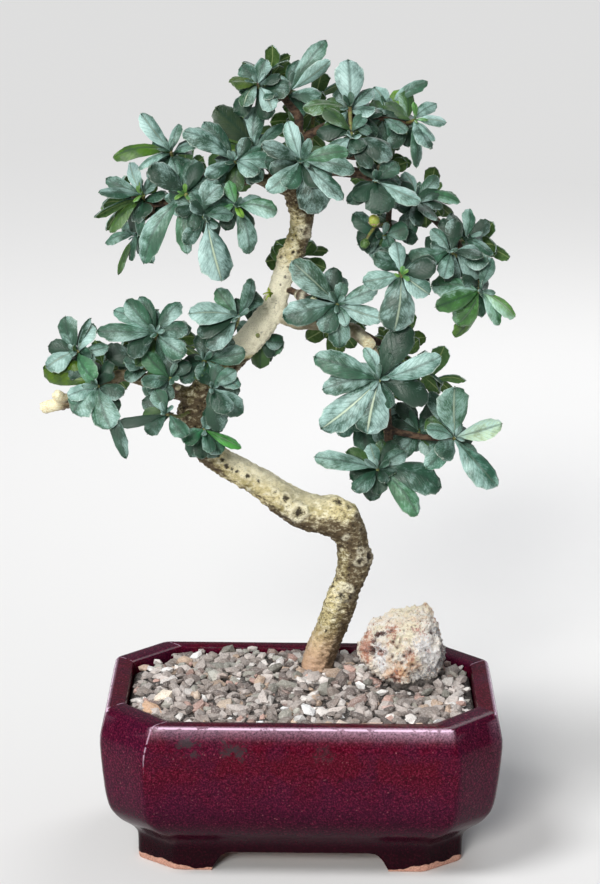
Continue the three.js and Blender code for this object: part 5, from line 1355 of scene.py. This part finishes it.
def add_leaf(shoot, root, tip, facing, width, roll, look, draw, grid=BACK_LEAF_GRID):
    """One leathery leaf: two bulged halves either side of a sunk midrib, with a few blunt teeth."""
    tone, rib, bloom = look
    across_steps, along_steps = grid
    along = (tip - root).normalized()
    length = (tip - root).length
    up = turned((facing - along * facing.dot(along)).normalized(), along, roll)
    across = along.cross(up)
    curl = draw.uniform(-0.5, 0.7) * width
    tip_curl = draw.uniform(-0.14, 0.07) * length
    twist = draw.uniform(-0.30, 0.30)
    sway = draw.uniform(-0.06, 0.06) * length
    phase = draw.uniform(0, 6)
    # Its look: how much bloom and painted sheen, which half is painted paler, and a draw for its veins.
    leaf_look = (bloom * 0.5 + 0.5, draw.random(), draw.random(), 1)
    leaf = new_leaf_mesh()
    bmesh.ops.create_grid(leaf, x_segments=across_steps, y_segments=along_steps, size=1, calc_uvs=True)
    tone_layer = leaf.verts.layers.float_color["leaf_tone"]
    look_layer = leaf.verts.layers.float_color["leaf_look"]
    for corner in leaf.verts:
        side = corner.co.x
        step = (corner.co.y + 1) / 2
        share = 1 - (1 - step) ** 1.75
        half = leaf_half_width(share) * width
        if share > TEETH_FROM and abs(side) > 0.9:
            half *= 1 + TOOTH_DEPTH * math.cos(step * along_steps * math.pi) * draw.uniform(0.4, 1.3)
        arch = 4 * LEAF_ARCH * length * share * (1 - share)
        bulge = LEAF_BULGE * width * math.sin(math.pi * abs(side)) * min(1, 3 * share)
        ripple = 0.03 * width * math.sin(share * 13 + phase + side * 2) * abs(side)
        lift = arch - LEAF_DROOP * abs(side) * half + bulge + ripple + curl * side * side * 0.12
        lift += tip_curl * share ** 3 + twist * side * half * share
        place = root + along * share * length + across * (side * half + sway * math.sin(math.pi * share))
        corner.co = place + up * lift
        corner[tone_layer] = (*tone, rib)
        corner[look_layer] = leaf_look
    bmesh.ops.remove_doubles(leaf, verts=leaf.verts, dist=0.02 * MM)
    leaf.normal_update()
    if sum((face.normal for face in leaf.faces), Vector()).dot(up) < 0:
        bmesh.ops.reverse_faces(leaf, faces=leaf.faces)
    grown = bmesh.ops.extrude_face_region(leaf, geom=list(leaf.faces), use_keep_orig=True)["geom"]
    grown_faces = [part for part in grown if isinstance(part, bmesh.types.BMFace)]
    for corner in {corner for face in grown_faces for corner in face.verts}:
        corner.co -= corner.normal * LEAF_THICKNESS
    for face in grown_faces:
        face.material_index = UNDERSIDE_SLOT
    bmesh.ops.recalc_face_normals(leaf, faces=leaf.faces)
    data = bpy.data.meshes.new("leaf")
    leaf.to_mesh(data)
    leaf.free()
    shoot.from_mesh(data)
    bpy.data.meshes.remove(data)


def hides_bark(root, tip):
    """Whether a leaf from root to tip stands before one of the places where the bark shows."""
    for share in (0.4, 0.7, 1):
        point = (root.lerp(tip, share) - TREE_SHIFT) / MM
        seen_height = point.z - SIGHT_SLOPE * (BARK_DEPTH - point.y)
        for middle, reach in BARK_VIEWS:
            if point.y < BARK_DEPTH and math.dist(middle, (point.x, seen_height)) < reach:
                return True
    return False


def picked(draw, tones, more_bloom_and_sheen=0):
    """One of the tones, by how common it is, a little lighter or darker, with its rib and its bloom and
    painted sheen.
    """
    tone, _, rib, bloom = draw.choices(tones, [share for _, share, _, _ in tones])[0]
    shade = draw.uniform(0.8, 1.25)
    rib *= draw.uniform(0.5, 1.5)
    return [min(part * shade, 1) for part in tone], rib, draw.uniform(*bloom) + more_bloom_and_sheen


def leaf_plan(tree):
    """How far a point is to one side of the midrib, how far out from it and how far along the leaf."""
    spread = add_node(tree, "UVMap", {}, uv_map="leaf_uv").outputs["UV"]
    over = add_node(tree, "SeparateXYZ", {"Vector": spread})
    across = worked(tree, "SUBTRACT", over.outputs["X"], 0.5)
    out = worked(tree, "MULTIPLY", worked(tree, "ABSOLUTE", across), 2)
    return across, out, over.outputs["Y"]


def leaf_finish():
    """Top of a leaf: deep green under a pale bloom and painted sheen, which lie in patches, between the fine
    veins and more on one half.
    """
    material, tree = new_material("leaf_top", Roughness=0.36, Specular_IOR_Level=0.5)
    place = add_node(tree, "TexCoord", {}).outputs["Object"]
    across, out, along = leaf_plan(tree)
    tone, _, _, _, rib = painted(tree, "leaf_tone")
    _, bloom, lean, chance, _ = painted(tree, "leaf_look")
    swept_back = worked(tree, "MULTIPLY", out, 0.36)
    vein_way = worked(tree, "SUBTRACT", worked(tree, "MULTIPLY", along, 1.35), swept_back)
    net_across = worked(tree, "MULTIPLY", across, 0.7)
    net_sockets = {"X": vein_way, "Y": net_across, "Z": worked(tree, "MULTIPLY", chance, 9)}
    net = cloudy(tree, add_node(tree, "CombineXYZ", net_sockets).outputs["Vector"], 0.055, 4, 0.7)
    broad = cloudy(tree, place, 6.5 * MM, 2, 0.5)
    fine = cloudy(tree, place, 0.6 * MM, 3, 0.7)
    # Painted light: one half of the leaf takes more of the pale bloom than the other, and the broad patches
    # are painted sheen.
    paler_half = worked(tree, "MULTIPLY", across, graded(tree, lean, 0, 1, -1.1, 1.1))
    share = worked(tree, "ADD", graded(tree, bloom, 0, 1, -1.72, 0.40), paler_half)
    share = worked(tree, "ADD", share, graded(tree, net, 0.34, 0.68, 0, 0.55))
    share = worked(tree, "ADD", share, graded(tree, broad, 0.36, 0.64, 0, 0.55))
    share = worked(tree, "ADD", share, graded(tree, fine, 0.3, 0.7, -0.12, 0.12))
    body = blended(tree, graded(tree, broad, 0.55, 0.4, 0, 0.45), tone, LEAF_SHADE)
    body = blended(tree, graded(tree, share, 0, 1, 0, 0.92), body, LEAF_BLOOM_AND_SHEEN)
    vein_lines = worked(tree, "SINE", worked(tree, "MULTIPLY", vein_way, 44))
    clear_vein = graded(tree, vein_lines, 0.80, 1.0, 0, 0.45)
    vein = worked(tree, "MULTIPLY", clear_vein, graded(tree, net, 0.35, 0.6))
    body = blended(tree, vein, body, LEAF_VEIN)
    # Painted shade in the sunk fold along the midrib.
    body = blended(tree, graded(tree, out, 0.20, 0.04, 0, 0.6), body, LEAF_FOLD_SHADE)
    rib_share = worked(tree, "MULTIPLY", graded(tree, out, 0.085, 0.03), graded(tree, rib, 0.35, 0.8))
    rib_share = worked(tree, "MULTIPLY", rib_share, graded(tree, along, 1.02, 0.6))
    body = blended(tree, rib_share, body, RIB_PALE)
    edge = worked(tree, "MULTIPLY", graded(tree, out, 0.88, 0.98), graded(tree, along, 0.3, 0.7))
    tip = graded(tree, worked(tree, "ADD", along, worked(tree, "MULTIPLY", net, 0.16)), 1.00, 1.06)
    rim = worked(tree, "MAXIMUM", edge, tip)
    rim = worked(tree, "MULTIPLY", rim, graded(tree, fine, 0.4, 0.6, 0.1, 0.9))
    rim = worked(tree, "MULTIPLY", rim, graded(tree, bloom, 0.4, 0.75, 0.25, 1))
    body = blended(tree, rim, body, EDGE_PALE)
    raised = worked(tree, "SUBTRACT", net, worked(tree, "MULTIPLY", vein, 1.2))
    feed(tree, Base_Color=body, Normal=relief(tree, raised, 0.22 * MM))
    return material


def underside_finish():
    """Underside of a leaf: matt olive green with a paler rib."""
    material, tree = new_material("leaf_underside", Roughness=0.6, Specular_IOR_Level=0.3)
    place = add_node(tree, "TexCoord", {}).outputs["Object"]
    _, out, _ = leaf_plan(tree)
    tone, _, _, _, _ = painted(tree, "leaf_tone")
    fine = cloudy(tree, place, 1.5 * MM, 4, 0.7)
    body = blended(tree, 0.6, tone, LEAF_UNDERSIDE)
    body = blended(tree, graded(tree, fine, 0.4, 0.7, 0, 0.5), body, UNDERSIDE_PALE)
    body = blended(tree, graded(tree, out, 0.1, 0.03, 0, 0.8), body, UNDERSIDE_RIB)
    feed(tree, Base_Color=body, Normal=relief(tree, fine, 0.15 * MM))
    return material


def stem_finish():
    """Young shoot: green with brown flecks."""
    material, tree = new_material("green_stem", Roughness=0.6)
    place = add_node(tree, "TexCoord", {}).outputs["Object"]
    fleck = cloudy(tree, place, 2 * MM, 4, 0.7)
    feed(tree, Base_Color=blended(tree, graded(tree, fleck, 0.4, 0.62), STEM_GREEN, STEM_BROWN))
    feed(tree, Normal=relief(tree, fleck, 0.2 * MM))
    return material


def standing_leaves(shoot, seed, corners):
    """Root, tip, facing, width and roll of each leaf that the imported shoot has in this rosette."""
    _, start, end, facing, more, leaves = shoot
    centre = Vector(end)
    facing = Vector(facing).normalized()
    stem = (centre - Vector(start)).normalized()
    sideways = (ROSETTE_SIDE - facing * facing.dot(ROSETTE_SIDE)).normalized()
    placed = [(Vector(leaf[:3]), leaf[3], math.radians(leaf[4]) if len(leaf) > 4 else 0) for leaf in leaves]
    seeded = SeededDraw(seed)
    turn_start = seeded.between(0, 2 * math.pi)
    for i in range(more):
        length = seeded.between(*FURTHER_LENGTH)
        lean = seeded.between(*(LEAN_BEHIND if leaves else LEAN_ALONE))
        outward = turned(sideways, facing, turn_start + i * GOLDEN_ANGLE)
        reach = (facing * math.cos(lean) + outward * math.sin(lean)) * length
        width = length * seeded.between(*FURTHER_WIDTH)
        placed.append((reach, width, seeded.between(*FURTHER_ROLL)))
    found = []
    for i, (reach, width, roll) in enumerate(placed):
        root = centre - stem * (1 + 4 * i / len(placed))
        for turn, lift, scale in WAYS_CLEAR:
            bent = turned(reach, facing, turn) + facing * lift * reach.length
            bent = bent.normalized() * reach.length * scale
            tip = tree_place(root + bent)
            if corners.find(tip)[2] < TIP_TOLERANCE:
                found.append((tree_place(root), tip, facing, width * scale * MM, roll))
                break
    return found


leaf_finishes = (leaf_finish(), underside_finish(), stem_finish())
draw = random.Random(LEAF_SEED)
shoot_rows = {}
for i, shoot in enumerate(SHOOTS):
    shoot_rows.setdefault(shoot[0], []).append((ROSETTE_SEED + i, shoot))
for name, rows in shoot_rows.items():
    node = "shoot_" + name
    more_bloom_and_sheen = next((more for start, more in SHOOT_BLOOM_AND_SHEEN.items() if name.startswith(start)), 0)
    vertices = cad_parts[node].data.vertices
    corners = kdtree.KDTree(len(vertices))
    for vertex in vertices:
        corners.insert(vertex.co, vertex.index)
    corners.balance()
    shoot_mesh = new_leaf_mesh()
    for seed, shoot in rows:
        start, end = tree_place(shoot[1]), tree_place(shoot[2])
        middle = (start + end) / 2
        middle.z -= STEM_SAG * (end.xy - start.xy).length
        inward = (end - start).normalized()
        first = len(shoot_mesh.faces)
        add_stem(shoot_mesh, [start - inward * 0.5 * MM, middle, end], STEM_FOOT_RADIUS, STEM_TIP_RADIUS)
        shoot_mesh.faces.ensure_lookup_table()
        for face in shoot_mesh.faces[first:]:
            face.material_index = STEM_SLOT
        facing = Vector(shoot[3]).normalized()
        sideways = (ROSETTE_SIDE - facing * facing.dot(ROSETTE_SIDE)).normalized()
        for i, (root, tip, up, width, roll) in enumerate(standing_leaves(shoot, seed, corners)):
            look = OWN_TONES.get((seed - ROSETTE_SEED, i)) or picked(draw, LEAF_TONES, more_bloom_and_sheen)
            add_leaf(shoot_mesh, root, tip, up, width, roll, look, draw, FRONT_LEAF_GRID)
        start_turn = draw.uniform(0, 6)
        for i in range(FILLER_LEAVES):
            lean = draw.uniform(*FILLER_LEAN)
            outward = turned(sideways, facing, start_turn + (i + draw.uniform(-0.2, 0.2)) * GOLDEN_ANGLE)
            length = draw.uniform(*FILLER_LENGTH) * MM
            root = end - inward * draw.uniform(*FILLER_DEPTH) * MM
            tip = root + (facing * math.cos(lean) + outward * math.sin(lean)) * length
            width = length * draw.uniform(*FILLER_WIDTH)
            if not hides_bark(root, tip):
                roll = draw.uniform(-0.4, 0.4)
                add_leaf(shoot_mesh, root, tip, facing, width, roll, picked(draw, FILLER_TONES), draw)
        heart_tones = HEART_TONES if draw.random() < BRIGHT_HEARTS else QUIET_HEART_TONES
        for i in range(HEART_LEAVES):
            lean = draw.uniform(*HEART_LEAN)
            outward = turned(sideways, facing, start_turn + 1 + i * GOLDEN_ANGLE)
            length = draw.uniform(*HEART_LENGTH) * MM
            tip = end + (facing * math.cos(lean) + outward * math.sin(lean)) * length
            width = length * draw.uniform(*HEART_WIDTH)
            root = end - inward * 0.5 * MM
            add_leaf(shoot_mesh, root, tip, facing, width, 0, picked(draw, heart_tones), draw)
    leafy = new_piece("leafy_" + node, shoot_mesh, *leaf_finishes)
    shade_smooth(leafy)
    leafy.data.set_sharp_from_angle(angle=math.radians(60))
    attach(leafy, "root")
    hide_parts(node)

# Berries. One unripe berry, turning yellow, and a smaller one, still dark green, on a forked green
# stalk. Each is held in a small calyx, and the larger one's has withered.
BERRY_STALKS = [
    ([(41, 8, 320), (36, 0, 320), (33.6, -6.2, 320.4), (33.5, -7, 323.5)], 1.15),
    ([(35, -2, 321), (31, -7, 316), (29, -8, 312)], 0.95),
]
BERRY_STRETCH = 1.2
BERRY_DENT = -0.12
FRUIT_SLOT = 3
BERRY_RADIUS = 2.4 * MM
BERRY_GREEN = (0.300, 0.400, 0.050, 1)
BERRY_YELLOW = (0.560, 0.580, 0.110, 1)
BERRY_FLECK = (0.700, 0.720, 0.400, 1)
YOUNG_GREEN = (0.060, 0.130, 0.030, 1)
YOUNG_PALE = (0.120, 0.220, 0.060, 1)
SEPAL_LOOK = ((0.150, 0.260, 0.060), 0.2, -0.2)
WITHERED_LOOK = ((0.620, 0.430, 0.300), 0.2, -0.9)


def berry_finish():
    """Smooth waxy skin, yellower on one side."""
    material, tree = new_material("berry_skin", Roughness=0.28, Coat_Weight=0.3)
    place = add_node(tree, "TexCoord", {}).outputs["Object"]
    blush = cloudy(tree, place, 4 * MM, 3, 0.6)
    body = blended(tree, graded(tree, blush, 0.4, 0.6), BERRY_GREEN, BERRY_YELLOW)
    flecks = graded(tree, cloudy(tree, place, 0.5 * MM, 2), 0.62, 0.7, 0, 0.4)
    body = blended(tree, flecks, body, BERRY_FLECK)
    feed(tree, Base_Color=body)
    return material


def young_finish():
    """Skin of the younger berry: darker green, with a little bloom."""
    material, tree = new_material("young_berry", Roughness=0.45)
    place = add_node(tree, "TexCoord", {}).outputs["Object"]
    cloud = cloudy(tree, place, 2 * MM, 3, 0.6)
    body = blended(tree, graded(tree, cloud, 0.42, 0.6), YOUNG_GREEN, YOUNG_PALE)
    feed(tree, Base_Color=body)
    return material


def add_ball(mesh, middle, radius, stretch, direction, finish, dent):
    """A round berry or bud, a little longer or shorter than wide, dented or pointed at its end."""
    turn = Vector((0, 0, 1)).rotation_difference(direction).to_matrix().to_4x4()
    ball = bmesh.ops.create_uvsphere(mesh, u_segments=16, v_segments=10, radius=radius)["verts"]
    for corner in ball:
        top = max(0, corner.co.z / radius)
        corner.co.z = corner.co.z * stretch + dent * radius * top ** 4
    bmesh.ops.transform(mesh, matrix=Matrix.Translation(middle) @ turn, verts=ball)
    for face in {face for corner in ball for face in corner.link_faces}:
        face.material_index = finish


def add_calyx(mesh, middle, radius, direction, look, draw):
    """Five pointed sepals, folded back against a berry or a bud."""
    side = direction.orthogonal().normalized()
    for i in range(5):
        outward = turned(side, direction, 2 * math.pi * i / 5)
        root = middle - direction * radius * 1.05
        tip = middle + outward * radius * 1.12 - direction * radius * 0.25
        add_leaf(mesh, root, tip, (outward - direction).normalized(), radius * 0.9, 0, look, draw)


berry_mesh = new_leaf_mesh()
for i, (stalk, size) in enumerate(BERRY_STALKS):
    path = [tree_place(point) for point in stalk]
    first = len(berry_mesh.faces)
    add_stem(berry_mesh, path, 0.9 * MM, 0.6 * MM)
    berry_mesh.faces.ensure_lookup_table()
    for face in berry_mesh.faces[first:]:
        face.material_index = STEM_SLOT
    direction = (path[-1] - path[-2]).normalized()
    add_ball(berry_mesh, path[-1], BERRY_RADIUS * size, BERRY_STRETCH, direction, FRUIT_SLOT + i, BERRY_DENT)
    add_calyx(berry_mesh, path[-1], BERRY_RADIUS * size, direction, (WITHERED_LOOK, SEPAL_LOOK)[i], draw)
berries = new_piece("berries", berry_mesh, *leaf_finishes, berry_finish(), young_finish())
shade_smooth(berries)
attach(berries, "root")
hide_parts("berry_sprig")

# Flower buds. Three small pale buds, not yet open, each with its petals folded and held in a small
# calyx. They stand on a forked green stalk that grows from the trunk.
BUD_STALK = [(1, 15, 280), (4, 4, 283), (5, -2, 286)]
BUDS = [(3, -4, 289), (8, -4, 286), (4, -5, 283)]
BUD_RADIUS = 1.9 * MM
BUD_STRETCH = 1.25
BUD_POINT = 0.25
BUD_CREAM = (0.800, 0.840, 0.500, 1)
BUD_PALE = (0.930, 0.940, 0.760, 1)


def bud_finish():
    """Folded pale petals, greener at the foot."""
    material, tree = new_material("bud_petals", Roughness=0.55, Subsurface_Weight=0.1, Subsurface_Scale=MM)
    place = add_node(tree, "TexCoord", {}).outputs["Object"]
    fold = cloudy(tree, place, 1.2 * MM, 3)
    body = blended(tree, fold, BUD_CREAM, BUD_PALE)
    feed(tree, Base_Color=body, Normal=relief(tree, fold, 0.2 * MM))
    return material


bud_mesh = new_leaf_mesh()
add_stem(bud_mesh, [tree_place(point) for point in BUD_STALK], 0.9 * MM, 0.6 * MM)
fork = tree_place(BUD_STALK[-1])
for bud in BUDS:
    middle = tree_place(bud)
    add_stem(bud_mesh, [fork, middle], 0.6 * MM, 0.5 * MM, 2)
for face in bud_mesh.faces:
    face.material_index = STEM_SLOT
for bud in BUDS:
    middle = tree_place(bud)
    direction = (middle - fork).normalized()
    add_ball(bud_mesh, middle, BUD_RADIUS * 0.85, BUD_STRETCH, direction, FRUIT_SLOT, BUD_POINT)
    add_calyx(bud_mesh, middle, BUD_RADIUS * 0.9, direction, SEPAL_LOOK, draw)
buds = new_piece("flower_buds", bud_mesh, *leaf_finishes, bud_finish())
shade_smooth(buds)
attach(buds, "root")
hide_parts("flower_sprig")

# Trunk bud. A yellow-green leaf bud that has just broken from the old bark of the middle limb, its four
# small leaves still folded.
BREAKING_BUD = (-16.5, 13, 282.5)
BUD_LEAF_TIPS = [(-21.5, 8, 283.5), (-19, 7, 285.5), (-20.5, 7, 280.5), (-18.5, 6, 282.5)]
BUD_LEAF_WIDTH = 2.6 * MM
BUD_LEAF_LOOK = ((0.500, 0.640, 0.040), 0.1, -0.4)

bud_leaf_mesh = new_leaf_mesh()
bud_root = tree_place(BREAKING_BUD)
for tip in BUD_LEAF_TIPS:
    facing = Vector((-1, -1, 0.3)).normalized()
    add_leaf(bud_leaf_mesh, bud_root, tree_place(tip), facing, BUD_LEAF_WIDTH, 0.5, BUD_LEAF_LOOK, draw)
trunk_bud = new_piece("trunk_bud", bud_leaf_mesh, *leaf_finishes)
shade_smooth(trunk_bud)
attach(trunk_bud, "root")
